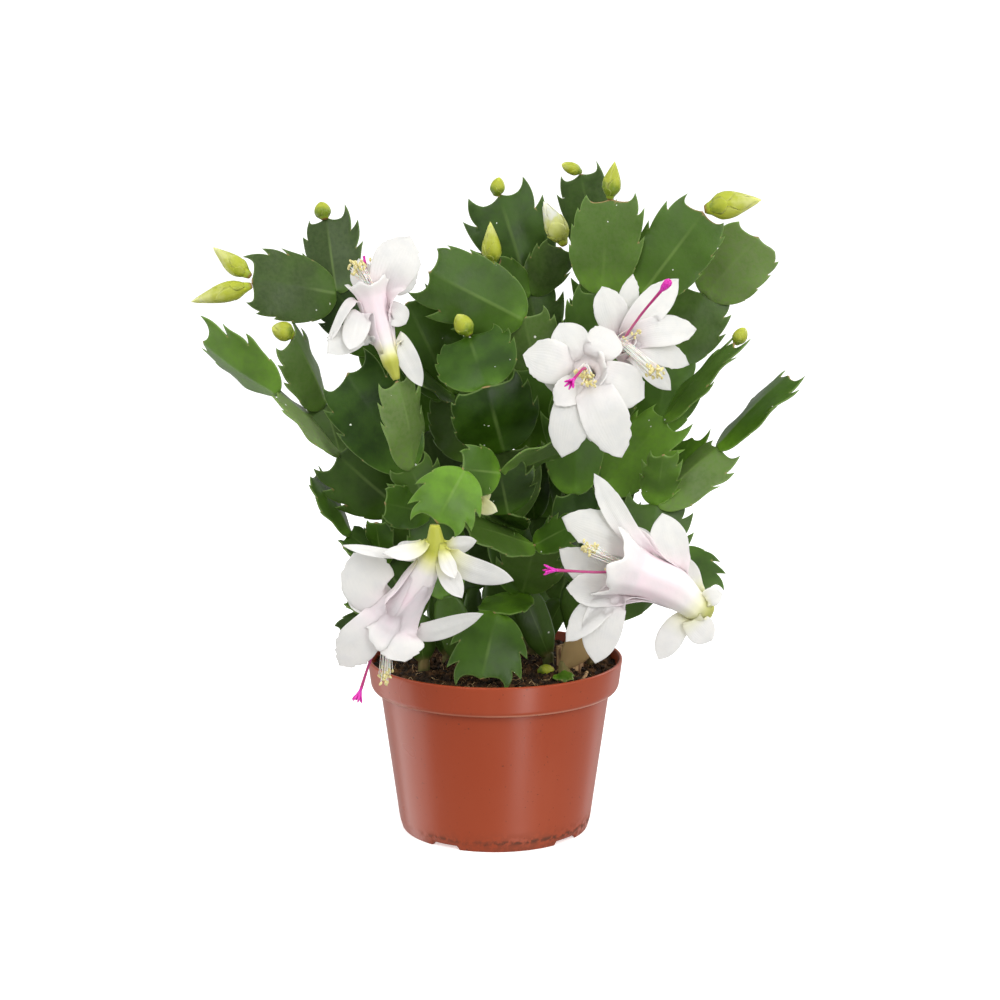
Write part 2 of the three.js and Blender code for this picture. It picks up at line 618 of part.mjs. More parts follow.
// Blooms: a tube of petals grows from a small ovary, with tepals around its base and lobes that flare
// from its mouth. Magenta style and cream stamens stand in the mouth.
// route: points from the ovary to the mouth. petals: [share along the tube, tip, width, bow, turn].
// style: points past the mouth. stamens: the middle of the anthers. lobes: of the stigma, if it has opened.
const BLOOMS = {
  left_upper: {
    bearer: "g4",
    radius: 7,
    route: [[-46, -50, 228], [-50, -48, 240], [-54, -48, 256]],
    petals: [
      [1, [-39, -44, 280], 16, 2, 15],
      [1, [-35, -45, 266], 11, 2, 30],
      [1, [-62, -38, 274], 11, 2, -30],
      [0.9, [-74, -52, 240], 8, 1, 40],
      [0.8, [-64, -58, 238], 12, 1, 0],
      [0.45, [-73, -61, 230], 11, 1, 25],
      [0.8, [-40, -38, 247], 9, 1, 0],
      [0.4, [-32, -57, 226], 9, 1, 0],
      [0.4, [-38, -63, 217], 9, 1, 20],
      [0.5, [-62, -34, 236], 9, 1, 0],
    ],
    style: [[-58, -50, 266], [-60, -52, 276]],
    stamens: [-63, -54, 266],
    lobes: 0,
  },
  right_upper: {
    bearer: "r13",
    radius: 6.5,
    route: [[62, -20, 216], [60, -32, 224], [56, -43, 233]],
    petals: [
      [1, [47, -41, 259], 16, 2, 0],
      [1, [61, -36, 264], 10, 1, 0],
      [1, [81, -38, 262], 15, 2, 10],
      [1, [89, -40, 240], 15, 2, 0],
      [1, [86, -39, 224], 13, 0, 0],
      [0.9, [78, -41, 213], 11, 0, 0],
      [0.6, [76, -26, 236], 9, 1, 0],
      [0.6, [46, -24, 238], 8, 1, 0],
    ],
    style: [[62, -56, 246], [72, -66, 260]],
    stamens: [70, -62, 224],
    lobes: 0,
  },
  right_lower: {
    bearer: "r14",
    radius: 8,
    route: [[48, -24, 207], [44, -42, 216], [40, -58, 223]],
    petals: [
      [1, [12, -62, 231], 15, 2, 0],
      [1, [28, -54, 244], 13, 2, 0],
      [1, [26, -70, 210], 10, 2, 0],
      [1, [29, -68, 187], 14, 2, 0],
      [1, [55, -68, 187], 16, 2, 0],
      [1, [65, -60, 212], 15, 2, 0],
      [1, [52, -51, 240], 13, 2, 0],
      [0.6, [20, -50, 220], 11, 1, 0],
      [0.6, [42, -54, 192], 10, 1, 0],
    ],
    style: [[38, -70, 226], [33, -80, 222]],
    stamens: [42, -71, 216],
    lobes: 6,
  },
  hanging: {
    bearer: "f6",
    radius: 8.5,
    route: [[-26, -86, 150], [-35, -80, 130], [-46, -75, 113]],
    petals: [
      [0.3, [-65, -87, 152], 7, -1, 55],
      [0.3, [-48, -94, 150], 8, 0, 40],
      [0.3, [-8, -82, 153], 8, 1, 30],
      [0.35, [-16, -94, 143], 8, 1, 0],
      [0.35, [8, -84, 136], 10, 1, 20],
      [0.4, [-14, -92, 130], 8, 1, 0],
      [0.35, [-44, -66, 146], 8, 1, 0],
      [0.95, [-63, -78, 140], 16, 2, 0],
      [1, [-64, -88, 122], 13, 2, 20],
      [1, [-67, -76, 96], 15, 2, 0],
      [1, [-5, -76, 121], 9, 1, 30],
      [1, [-37, -88, 103], 15, 2, 0],
      [1, [-50, -56, 110], 12, 2, 0],
    ],
    style: [[-53, -77, 102], [-59, -79, 85]],
    stamens: [-48, -79, 94],
    lobes: 6,
  },
  low_right: {
    bearer: "k7",
    radius: 9.6,
    route: [[90, -66, 120], [77, -69, 130], [61, -70, 137]],
    petals: [
      [0.3, [83, -60, 142], 8, 1, 0],
      [0.3, [95, -70, 106], 11, 1, 0],
      [0.3, [72, -68, 97], 10, 1, 10],
      [0.3, [99, -74, 128], 7, 1, 0],
      [0.6, [73, -65, 162], 14, 2, 0],
      [1, [43, -68, 180], 9, 1, 0],
      [1, [29, -70, 161], 15, 1, 0],
      [1, [28, -70, 147], 13, 0, 0],
      [1, [31, -71, 130], 13, 1, 0],
      [1, [31, -72, 106], 11, 1, 0],
      [1, [44, -71, 96], 15, 2, 0],
      [0.8, [58, -56, 154], 11, 1, 0],
    ],
    style: [[44, -81, 139], [25, -86, 141]],
    stamens: [41, -83, 148],
    lobes: 5,
  },
};
const YOUNG_BLOOM = {
  bearer: "h3",
  radius: 3.4,
  route: [[-14, -54, 159], [-12, -58, 163], [-10, -60, 167]],
  petals: [
    [0.9, [0, -65, 160], 7, 1, 0],
    [0.9, [-3, -64, 171], 6, 1, 0],
    [0.9, [-14, -61, 176], 6, 1, 0],
  ],
};
// The tube's girth: rows are [share along it, share of its radius]; it ends in a pit in the mouth
const TUBE_GIRTH = [
  [0, 0.2],
  [0.12, 0.36],
  [0.3, 0.4],
  [0.55, 0.85],
  [1, 1],
  [1, 0.78],
  [0.72, 0.5],
];
const TUBE_SIDES = 6;
const PETAL_OUTLINE = [
  [0, 0.3],
  [0.4, 0.9],
  [0.75, 0.88],
];
const PETAL_RIBS = [0.5];
const PETAL_THICKNESS = 0.7;
// How far out in the wall of the tube a petal starts
const PETAL_SEAT = 0.83;
const STYLE_RADIUS = 0.75;
const STAMEN = { count: 4, radius: 0.5, collar: [1.2, 2.2], height: 2, spread: 3.5 };

function tubeSolid(curve, radius) {
  const vertices = [];
  const triangles = [];
  const up = new THREE.Vector3(0, 0, 1);
  for (const [share, girth] of TUBE_GIRTH) {
    const centre = curve.getPointAt(share);
    const axis = curve.getTangentAt(share);
    const across = new THREE.Vector3().crossVectors(axis, up).normalize();
    const over = new THREE.Vector3().crossVectors(across, axis);
    for (let i = 0; i < TUBE_SIDES; i += 1) {
      const angle = (i * 2 * Math.PI) / TUBE_SIDES;
      const spot = centre.clone().addScaledVector(across, Math.cos(angle) * girth * radius);
      vertices.push(spot.addScaledVector(over, Math.sin(angle) * girth * radius));
    }
  }
  const last = TUBE_GIRTH.length - 1;
  vertices.push(curve.getPointAt(0), curve.getPointAt(TUBE_GIRTH[last][0]));
  const ends = vertices.length - 2;
  for (let i = 0; i < TUBE_SIDES; i += 1) {
    const next = (i + 1) % TUBE_SIDES;
    triangles.push([ends, i, next]);
    for (let ring = 0; ring < last; ring += 1) {
      const near = ring * TUBE_SIDES;
      const far = near + TUBE_SIDES;
      triangles.push([near + i, far + i, far + next], [near + i, far + next, near + next]);
    }
    triangles.push([last * TUBE_SIDES + i, ends + 1, last * TUBE_SIDES + next]);
  }
  const tube = solidOf(vertices, triangles);
  return tube.volume() > 0 ? tube : solidOf(vertices, triangles.map(([a, b, c]) => [a, c, b]));
}

function girthAt(share) {
  const after = TUBE_GIRTH.findIndex(([along]) => along >= share);
  const [nearShare, near] = TUBE_GIRTH[Math.max(after - 1, 0)];
  const [farShare, far] = TUBE_GIRTH[after];
  return farShare === nearShare ? far : near + ((far - near) * (share - nearShare)) / (farShare - nearShare);
}

// A thin leaf of even thickness, keeled along its middle
function leafSolid(base, tip, [width, bow, turn], thickness) {
  const { along, face, across, length } = directions(base, tip, turn);
  const place = (t, s, side) => {
    const rise = bow * 4 * t * (1 - t) - (Math.abs(s) * width) / 12;
    return base
      .clone()
      .addScaledVector(along, t * length)
      .addScaledVector(across, (s * width) / 2)
      .addScaledVector(face, rise + (side * thickness) / 2);
  };
  return bladeSolid(PETAL_OUTLINE, PETAL_RIBS, place);
}

function petalSolid(curve, radius, [share, tipRow, width, bow, turn]) {
  const tip = point(tipRow);
  const centre = curve.getPointAt(share);
  const axis = curve.getTangentAt(share);
  const radial = tip.clone().sub(centre);
  radial.addScaledVector(axis, -radial.dot(axis)).normalize();
  const base = centre.clone().addScaledVector(radial, radius * girthAt(share) * PETAL_SEAT);
  return leafSolid(base, tip, [width, bow, turn], PETAL_THICKNESS);
}

// A rod of even thickness along a curve, with flat ends
function rod(curve, radius, sides, steps) {
  const section = new THREE.Shape();
  for (let i = 0; i < sides; i += 1) {
    const angle = (i * 2 * Math.PI) / sides;
    const x = radius * Math.cos(angle);
    const y = radius * Math.sin(angle);
    if (i === 0) {
      section.moveTo(x, y);
    } else {
      section.lineTo(x, y);
    }
  }
  const shape = new THREE.ExtrudeGeometry(section, { steps, extrudePath: curve, bevelEnabled: false });
  return solidOfGeometry(shape);
}

function stigmaSolid(tip, direction, lobes) {
  if (lobes === 0) {
    const end = tip.clone().addScaledVector(direction, 5);
    const start = tip.clone().addScaledVector(direction, -1);
    return spindle(start, end, [[0, 0], [1.3, 1], [1.6, 3], [0, 6]], 6);
  }
  const side = new THREE.Vector3(direction.z, 0, -direction.x).normalize();
  const cones = [];
  for (let i = 0; i < lobes; i += 1) {
    const out = side.clone().applyAxisAngle(direction, (i * 2 * Math.PI) / lobes);
    const end = tip.clone().addScaledVector(direction, 4).addScaledVector(out, 2.2);
    const start = tip.clone().addScaledVector(direction, -1.2);
    cones.push(spindle(start, end, [[0, 0], [0.7, 1.4], [0, start.distanceTo(end)]], 4));
  }
  return fuse(cones);
}

function makeStyle(name, bloom, pitFloor, mouth) {
  const ends = bloom.style.map(point);
  const tip = ends[ends.length - 1];
  const curve = new THREE.CatmullRomCurve3([pitFloor, mouth, ...ends]);
  const stigma = stigmaSolid(tip, curve.getTangentAt(1), bloom.lobes);
  addPiece(`bloom_${name}_style`, fuse([rod(curve, STYLE_RADIUS, 4, 5), stigma]), "style");
}

function makeStamens(name, bloom, pitFloor, mouth, axis) {
  const anthers = point(bloom.stamens);
  const styleTip = point(bloom.style[bloom.style.length - 1]);
  const away = anthers.clone().sub(styleTip);
  away.addScaledVector(axis, -away.dot(axis)).normalize();
  const beside = axis.clone().cross(away);
  const [inner, outer] = STAMEN.collar;
  const ringTop = pitFloor.clone().addScaledVector(axis, STAMEN.height);
  const ring = [[inner, 0], [outer, 0], [outer, STAMEN.height], [inner, STAMEN.height], [inner, 0]];
  const solids = [spindle(pitFloor, ringTop, ring, 6)];
  for (let i = 0; i < STAMEN.count; i += 1) {
    const angle = radians(-75 + (150 * i) / (STAMEN.count - 1));
    const out = away.clone().multiplyScalar(Math.cos(angle)).addScaledVector(beside, Math.sin(angle));
    const start = ringTop.clone().addScaledVector(out, (inner + outer) / 2).addScaledVector(axis, -0.8);
    const middle = mouth.clone().addScaledVector(out, 2.6).addScaledVector(axis, 5);
    const end = anthers.clone().addScaledVector(out, STAMEN.spread).addScaledVector(axis, (i % 3) * 2);
    const filament = new THREE.CatmullRomCurve3([start, middle, end]);
    solids.push(rod(filament, STAMEN.radius, 3, 3));
    const anther = new THREE.OctahedronGeometry(STAMEN.radius * 2.2);
    anther.translate(end.x, end.y, end.z);
    solids.push(solidOfGeometry(anther));
  }
  addPiece(`bloom_${name}_stamens`, fuse(solids), "stamen");
}

function bloomBody(bloom) {
  const route = bloom.route.map(point);
  const foot = footOn(bloom.bearer, route[0], bloom.radius * TUBE_GIRTH[0][1], 0);
  const curve = new THREE.CatmullRomCurve3([foot, ...route]);
  const petals = bloom.petals.map((petal) => petalSolid(curve, bloom.radius, petal));
  return { curve, solid: fuse([tubeSolid(curve, bloom.radius), ...petals]) };
}

function makeBloom(name, bloom) {
  const { curve, solid } = bloomBody(bloom);
  addPiece(`bloom_${name}`, solid, "petal");
  const mouth = curve.getPointAt(1);
  const axis = curve.getTangentAt(1);
  const pitShare = TUBE_GIRTH[TUBE_GIRTH.length - 1][0];
  const pitFloor = curve.getPointAt(pitShare).addScaledVector(curve.getTangentAt(pitShare), CLEARANCE);
  makeStyle(name, bloom, pitFloor, mouth);
  makeStamens(name, bloom, pitFloor, mouth, axis);
}

// Things that lie on the soil: a corky stub of an old stem, a fallen bud, a bit of leaf and a twig
const STUB = { place: [35, -12], radius: 6, groove: 5.1, ribs: 8, bottom: 70, top: 89.5 };
const FALLEN_BUD = { base: [19.5, -21, 80.4], tip: [27.5, -22.5, 81], radius: 2.9 };
const LEAF_BIT = { base: [26.5, -32, 79.6], tip: [36, -34.5, 79.8], width: 7, bow: 0.6, turn: -62, thickness: 1 };
const TWIG = { route: [[42.5, -21, 79.2], [41.5, -28, 79.3], [39, -35, 78.2]], radius: 0.8 };

function stubSolid() {
  const { place, radius, groove, ribs, bottom, top } = STUB;
  const corners = [];
  for (let i = 0; i < ribs * 2; i += 1) {
    const angle = (i * Math.PI) / ribs;
    const reach = i % 2 === 0 ? radius : groove;
    corners.push(new THREE.Vector2(reach * Math.cos(angle), reach * Math.sin(angle)));
  }
  const log = new THREE.ExtrudeGeometry(new THREE.Shape(corners), { depth: top - bottom, bevelEnabled: false });
  log.translate(place[0], place[1], bottom);
  return solidOfGeometry(log);
}

function stubHole() {
  const sides = 10;
  const bottom = STUB.bottom - CLEARANCE;
  const radius = (STUB.radius + CLEARANCE) / Math.cos(Math.PI / sides);
  return upright(radius, radius, POT.height - bottom, sides, [...STUB.place, bottom]);
}

// A loose thing lies in a pocket of the soil: grown by the clearance it gives the pocket
function fallenBud(grown) {
  const ends = [point(FALLEN_BUD.base), point(FALLEN_BUD.tip)];
  const reach = ends[1].clone().sub(ends[0]).setLength(grown);
  const base = ends[0].clone().sub(reach);
  const tip = ends[1].clone().add(reach);
  const length = tip.distanceTo(base);
  const profile = BUD_PROFILE.map(([r, z]) => [r * (FALLEN_BUD.radius + grown), z * length]);
  return spindle(base, tip, profile, BUD_SIDES);
}

function leafBit(grown) {
  const { width, bow, turn, thickness } = LEAF_BIT;
  const base = point(LEAF_BIT.base);
  const tip = point(LEAF_BIT.tip);
  const reach = tip.clone().sub(base).setLength(grown);
  const shape = [width + 2 * grown, bow, turn];
  return leafSolid(base.sub(reach), tip.add(reach), shape, thickness + 2 * grown);
}

function twigRod(grown) {
  const ends = TWIG.route.map(point);
  const reach = ends[2].clone().sub(ends[0]).setLength(grown);
  ends[0].sub(reach);
  ends[2].add(reach);
  return rod(new THREE.CatmullRomCurve3(ends), TWIG.radius + grown, 5, 3);
}

makePot();
const pockets = [stubHole(), ...[fallenBud, leafBit, twigRod].map((make) => make(CLEARANCE))];
makeSoil(Object.values(SHOOTS).map((shoot) => shoot.root), pockets);
addPiece("old_stub", stubSolid(), "cork");
addPiece("fallen_bud", fallenBud(0), "bud");
addPiece("leaf_bit", leafBit(0), "stem");
addPiece("twig", twigRod(0), "cork");
for (const [name, shoot] of Object.entries(SHOOTS)) {
  makeShoot(name, shoot);
}
for (const [name, bud] of Object.entries(BUDS)) {
  makeBud(name, bud);
}
for (const [name, bloom] of Object.entries(BLOOMS)) {
  makeBloom(name, bloom);
}
addPiece("bloom_young", bloomBody(YOUNG_BLOOM).solid, "petal");

export default plant;
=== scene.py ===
# A potted Christmas cactus: its looks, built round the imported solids. Metres, +Z up, seen from -Y.

import math

import bmesh
import bpy
import numpy as np
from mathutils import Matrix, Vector, noise
from mathutils.geometry import delaunay_2d_cdt


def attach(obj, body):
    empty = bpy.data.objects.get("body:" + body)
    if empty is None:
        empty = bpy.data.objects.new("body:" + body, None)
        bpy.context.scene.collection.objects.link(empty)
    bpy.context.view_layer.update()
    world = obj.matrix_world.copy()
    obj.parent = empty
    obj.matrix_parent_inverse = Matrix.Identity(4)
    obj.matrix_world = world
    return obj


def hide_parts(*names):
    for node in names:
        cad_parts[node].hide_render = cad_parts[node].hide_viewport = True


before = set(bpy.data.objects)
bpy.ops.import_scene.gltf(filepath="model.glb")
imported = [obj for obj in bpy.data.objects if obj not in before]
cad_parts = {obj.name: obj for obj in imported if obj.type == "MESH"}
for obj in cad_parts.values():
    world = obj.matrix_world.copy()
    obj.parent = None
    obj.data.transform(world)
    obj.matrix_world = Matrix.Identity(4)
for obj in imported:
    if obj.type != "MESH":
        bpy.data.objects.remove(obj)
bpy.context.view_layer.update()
MM = 0.001

# Studio: a seamless white bowl of a backdrop, so that the plant stands on the same pale ground from
# every side. Soft boxes stand where the two light bands on the pot come from, at the left and front right.
CAMERA = {"place": (0, -1.0, 0.331), "down": 9.9, "lens": 78.37, "sensor": 36, "shift": 0.005}
BACKDROP_PROFILE = [(0.02, 0), (1.7, 0), (2.1, 0.05), (2.45, 0.22), (2.7, 0.6), (2.8, 1.6)]
BACKDROP_SIDES = 96
WORLD_LIGHT = 0.62
LAMP_TARGET = np.array((0, 0, 0.16))
# Each soft box: place, width, height, power in watts. The strips stand under
# table level and only make the soft bands on the pot, which narrows downwards
SOFT_BOXES = {
    "left": ((-1.25, -0.15, 0.75), 0.7, 1.0, 4.5),
    "front_right": ((0.75, -1.3, 0.8), 0.3, 0.9, 8.5),
    "front_left": ((-0.7, -1.5, 1.3), 0.9, 0.9, 10),
    "right": ((1.25, -0.6, 0.8), 0.7, 1.0, 6.5),
    "back_right": ((1.2, 1.0, 0.9), 0.6, 1.0, 8),
    "top": ((0, -0.3, 1.8), 1.4, 1.4, 7),
    "strip_left": ((-0.76, 0.22, -0.3), 0.7, 0.6, 2.8),
    "strip_front": ((0.42, -0.76, -0.3), 0.16, 0.6, 2.6),
    "strip_right": ((0.6, 0.66, -0.3), 0.26, 0.6, 0.3),
}


def colours(**named):
    """Colours named in screen values of 0 to 255, as the shader wants them."""
    made = {}
    for name, parts in named.items():
        parts = [v / 255 for v in parts]
        parts = [v / 12.92 if v <= 0.04045 else ((v + 0.055) / 1.055) ** 2.4 for v in parts]
        made[name] = (*parts, 1.0)
    return made


def add_node(tree, kind, inputs, **settings):
    """A node whose inputs are plain values, sockets, shades, or nodes, which give their first output."""
    made = tree.nodes.new(kind)
    for key, value in settings.items():
        setattr(made, key, value)
    for socket, value in inputs.items():
        if isinstance(value, Shade):
            value = value.socket
        elif isinstance(value, bpy.types.Node):
            value = value.outputs[0]
        if isinstance(value, bpy.types.NodeSocket):
            tree.links.new(value, made.inputs[socket])
        else:
            made.inputs[socket].default_value = value
    return made


class Shade:
    """What a node of a finish gives: a number or a colour that varies over the piece."""

    def __init__(self, tree, kind, inputs, output=0, **settings):
        self.tree = tree
        self.socket = add_node(tree, kind, inputs, **settings).outputs[output]

    def reckon(self, operation, other=0.0, **settings):
        return Shade(self.tree, "ShaderNodeMath", {0: self, 1: other}, operation=operation, **settings)

    def __add__(self, other):
        return self.reckon("ADD", other)

    def __sub__(self, other):
        return self.reckon("SUBTRACT", other)

    def __mul__(self, other):
        return self.reckon("MULTIPLY", other)

    def __abs__(self):
        return self.reckon("ABSOLUTE")

    def step(self, low, high, start=0.0, end=1.0):
        """Goes smoothly from start to end as the value goes from low to high."""
        sockets = {0: self, 1: low, 2: high, 3: start, 4: end}
        return Shade(self.tree, "ShaderNodeMapRange", sockets, interpolation_type="SMOOTHSTEP")

    def mix(self, first, second):
        """The first colour where the value is 0, the second where it is 1."""
        return Shade(self.tree, "ShaderNodeMix", {0: self, 6: first, 7: second}, 2, data_type="RGBA")


class Finish:
    """A material, with the shader's own sockets set by name and its patterns joined on."""

    def __init__(self, name, **sockets):
        self.material = bpy.data.materials.new(name)
        self.material.use_nodes = True
        self.tree = self.material.node_tree
        self.sockets = self.tree.nodes["Principled BSDF"].inputs
        for socket, value in sockets.items():
            self.sockets[socket.replace("_", " ")].default_value = value

    def join(self, **shades):
        for socket, shade in shades.items():
            self.tree.links.new(shade.socket, self.sockets[socket.replace("_", " ")])

    def place(self):
        """The object's own coordinates."""
        return Shade(self.tree, "ShaderNodeTexCoord", {}, "Object")

    def split(self, whole):
        """The three numbers of a vector."""
        return [Shade(self.tree, "ShaderNodeSeparateXYZ", {0: whole}, k) for k in range(3)]

    def attribute(self, label):
        """The three numbers of a piece's own attribute."""
        return self.split(Shade(self.tree, "ShaderNodeAttribute", {}, "Vector", attribute_name=label))

    def speckle(self, scale, detail=2.0, stretch=(1, 1, 1)):
        """Noise in the object's own space; scale is in grains to the metre."""
        turned = Shade(self.tree, "ShaderNodeMapping", {0: self.place(), "Scale": stretch})
        return Shade(self.tree, "ShaderNodeTexNoise", {"Vector": turned, "Scale": scale, "Detail": detail})

    def bumps(self, *heights):
        """Stacks bumps: each row is a height from 0 to 1, how deep it is in metres, and its strength."""
        below = {}
        for height, depth, strength in heights:
            sockets = {"Height": height, "Distance": depth, "Strength": strength, **below}
            below = {"Normal": Shade(self.tree, "ShaderNodeBump", sockets)}
        self.join(**below)


def link_object(name, data):
    """A new object at the origin."""
    made = bpy.data.objects.new(name, data)
    bpy.context.scene.collection.objects.link(made)
    return made


def new_object(name, points, faces=(), edges=()):
    mesh = bpy.data.meshes.new(name)
    mesh.from_pydata(np.asarray(points).tolist(), edges, faces)
    return link_object(name, mesh)


def smooth(target):
    target.data.polygons.foreach_set("use_smooth", [True] * len(target.data.polygons))
    target.data.update()


def grid_quads(rows, around, first):
    grid = first + np.arange(rows * around).reshape(rows, around)
    beside = np.roll(grid, -1, axis=1)
    return np.stack([grid[:-1], beside[:-1], beside[1:], grid[1:]], axis=-1).reshape(-1, 4).tolist()


def turned_grid(profile, sides, first=0):
    """Points and quads of a profile of (radius, height) rows turned about +Z."""
    angles = np.arange(sides) * 2 * math.pi / sides
    radii, heights = np.array(profile, float).T
    level = np.repeat(heights[:, None], sides, axis=1)
    points = np.stack([np.outer(radii, np.cos(angles)), np.outer(radii, np.sin(angles)), level], axis=-1)
    return points.reshape(-1, 3), grid_quads(len(radii), sides, first)


points, faces = turned_grid(BACKDROP_PROFILE, BACKDROP_SIDES)
faces.append(list(range(BACKDROP_SIDES))[::-1])
backdrop = new_object("backdrop", points, faces)
glow = {"Emission_Color": (1, 1, 1, 1), "Emission_Strength": 0.5}
backdrop_finish = Finish("white_backdrop", Roughness=0.9, Specular_IOR_Level=0.1, **glow)
PAPER = colours(shaded=(246, 246, 246), white=(250, 250, 250))
paper = backdrop_finish.speckle(3).step(0.3, 0.7).mix(PAPER["shaded"], PAPER["white"])
backdrop_finish.join(Base_Color=paper)
backdrop.data.materials.append(backdrop_finish.material)
smooth(backdrop)
backdrop.visible_diffuse = False
backdrop.visible_glossy = False
backdrop.visible_shadow = False

lens = bpy.data.cameras.new("camera")
lens.sensor_width = CAMERA["sensor"]
lens.lens = CAMERA["lens"]
lens.shift_x = CAMERA["shift"]
camera = link_object("camera", lens)
camera.location = CAMERA["place"]
camera.rotation_euler = (math.radians(90 - CAMERA["down"]), 0, 0)
bpy.context.scene.camera = camera
bpy.context.scene.view_settings.view_transform = "Standard"

world = bpy.data.worlds.new("studio")
world.use_nodes = True
world.node_tree.nodes["Background"].inputs["Color"].default_value = (1, 1, 1, 1)
world.node_tree.nodes["Background"].inputs["Strength"].default_value = WORLD_LIGHT
bpy.context.scene.world = world
for name, (place, width, height, power) in SOFT_BOXES.items():
    light = bpy.data.lights.new(name, "AREA")
    light.shape = "RECTANGLE"
    light.size = width
    light.size_y = height
    light.energy = power
    lamp = link_object(name, light)
    lamp.visible_camera = False
    if name.startswith("strip"):
        lamp.visible_diffuse = False
        lamp.visible_transmission = False
    lamp.location = place
    aim = LAMP_TARGET - np.array(place)
    flat = math.hypot(aim[0], aim[1])
    lamp.rotation_euler = (math.atan2(flat, -aim[2]), 0, math.atan2(-aim[0], aim[1]))

# Pot: a thin injection-moulded nursery pot of terracotta-coloured plastic, with a taller band under
# its rim, low notches in its foot ring and four drain holes. Its finish is satin, with dirt at the foot, and
# a painted highlight along the edge under the band.
# Profile rows: radius, height, how far the corner is rounded, all in mm.
POT_PROFILE = [
    (41.0, 2.4, 0),
    (41.6, 2.4, 0.4),
    (41.8, 0.0, 0.4),
    (44.2, 0.0, 0.6),
    (45.5, 4.6, 1.6),
    (54.2, 67.4, 0.8),
    (57.4, 67.5, 0.7),
    (58.5, 69.2, 1.0),
    (60.0, 80.6, 0.7),
    (60.0, 81.6, 0.4),
    (59.3, 82.0, 0.4),
    (58.5, 81.7, 0.3),
    (56.4, 69.5, 0.8),
    (52.7, 66.4, 0.8),
    (44.3, 6.4, 1.2),
    (42.0, 4.4, 1.0),
    (1.0, 4.4, 0),
]
POT_SIDES = 216
ROUND_STEPS = 4
FOOT_NOTCHES = {"angles": [-32, 49, 139, 229], "width": 14, "height": 2}
DRAINS = {"ring": 26, "radius": 4, "count": 4, "sides": 32, "span": (-2, 8)}
# The line of dirt at the foot, and the pale painted highlight along the edge under the band, in metres above
# the table
FOOT_LINE = 0.0048
BAND_EDGE = 0.0678
POT_COLOURS = colours(body=(158, 66, 36), worn=(170, 86, 58), rubbed=(236, 176, 146), dirt=(78, 46, 30))


def rounded(profile):
    """Rounds the corners of a profile whose rows end in how far to round."""
    rows = np.array(profile, float)
    made = []
    for i, (radius, height, cut) in enumerate(rows):
        corner = np.array([radius, height])
        if cut == 0 or i in (0, len(rows) - 1):
            made.append(corner)
            continue
        ends = []
        for beside in (rows[i - 1, :2] - corner, rows[i + 1, :2] - corner):
            length = np.linalg.norm(beside)
            ends.append(corner + beside / length * min(cut, length * 0.45))
        for share in np.linspace(0, 1, ROUND_STEPS):
            made.append((1 - share) ** 2 * ends[0] + 2 * share * (1 - share) * corner + share**2 * ends[1])
    return made


def outward(target, merge=True):
    """Turns every face of a closed shape outwards, once what lies together is merged."""
    work = bmesh.new()
    work.from_mesh(target.data)
    if merge:
        bmesh.ops.remove_doubles(work, verts=work.verts, dist=1e-6)
    bmesh.ops.recalc_face_normals(work, faces=work.faces)
    work.to_mesh(target.data)
    work.free()


def plain_mesh(target, modifier):
    """Keeps what a modifier makes of an object as its mesh, without the modifier."""
    bpy.context.view_layer.update()
    evaluated = target.evaluated_get(bpy.context.evaluated_depsgraph_get())
    made = bpy.data.meshes.new_from_object(evaluated)
    target.modifiers.remove(modifier)
    target.data = made


def join_row(target, finish, slot, *nodes):
    """Gives a finished piece its finish and its body, and hides the solids that it stands for. The slot is
    not used.
    """
    if finish is not None:
        target.data.materials.clear()
        target.data.materials.append(finish.material)
    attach(target, "root")
    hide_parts(*nodes)


points, faces = turned_grid(rounded(POT_PROFILE), POT_SIDES)
faces.append(list(range(POT_SIDES)))
faces.append(list(range(len(points) - POT_SIDES, len(points))))
angles = np.degrees(np.arctan2(points[:, 0], -points[:, 1]))
reach = np.hypot(points[:, 0], points[:, 1])
for middle in FOOT_NOTCHES["angles"]:
    away = (angles - middle + 180) % 360 - 180
    aside = np.abs(reach * np.sin(np.radians(away)))
    inside = (aside < FOOT_NOTCHES["width"] / 2) & (np.abs(away) < 60)
    points[inside & (points[:, 2] < FOOT_NOTCHES["height"]), 2] = FOOT_NOTCHES["height"]
pot = new_object("pot_shell", points * MM, faces)
outward(pot)
for i in range(DRAINS["count"]):
    turn = i * 2 * math.pi / DRAINS["count"]
    sides = DRAINS["sides"]
    plug_points, plug_faces = turned_grid([(DRAINS["radius"], z) for z in DRAINS["span"]], sides)
    plug_points = plug_points + np.array([math.cos(turn), math.sin(turn), 0]) * DRAINS["ring"]
    plug_faces += [list(range(sides)), list(range(sides, 2 * sides))]
    plug = new_object("drain_cut", plug_points * MM, plug_faces)
    outward(plug)
    cutter = pot.modifiers.new("drain", "BOOLEAN")
    cutter.object = plug
    cutter.operation = "DIFFERENCE"
    cutter.solver = "EXACT"
    plain_mesh(pot, cutter)
    bpy.data.objects.remove(plug)
smooth(pot)
pot.data.set_sharp_from_angle(angle=math.radians(40))

pot_finish = Finish("terracotta_plastic", Roughness=0.3, Specular_IOR_Level=0.25)
height = pot_finish.split(pot_finish.place())[2]
cloud = pot_finish.speckle(14, 3)
streak = pot_finish.speckle(60, 3, (1, 1, 0.06))
fine = pot_finish.speckle(2600, 2)
blot = pot_finish.speckle(420, 5)
side = pot_finish.speckle(16, 1)
fleck = pot_finish.speckle(700, 1)
body = cloud.step(0.35, 0.75, 0, 0.22).mix(POT_COLOURS["body"], POT_COLOURS["worn"])
body = streak.step(0.5, 0.8, 0, 0.16).mix(body, POT_COLOURS["worn"])
dirty = abs(height - FOOT_LINE).step(0, 0.0018, 1, 0) + height.step(0.003, 0.012, 1, 0) * 0.6
grime = blot.step(0.36, 0.6) * side.step(0.42, 0.6, 0.15, 1) * dirty
body = grime.reckon("MULTIPLY", 0.55, use_clamp=True).mix(body, POT_COLOURS["dirt"])
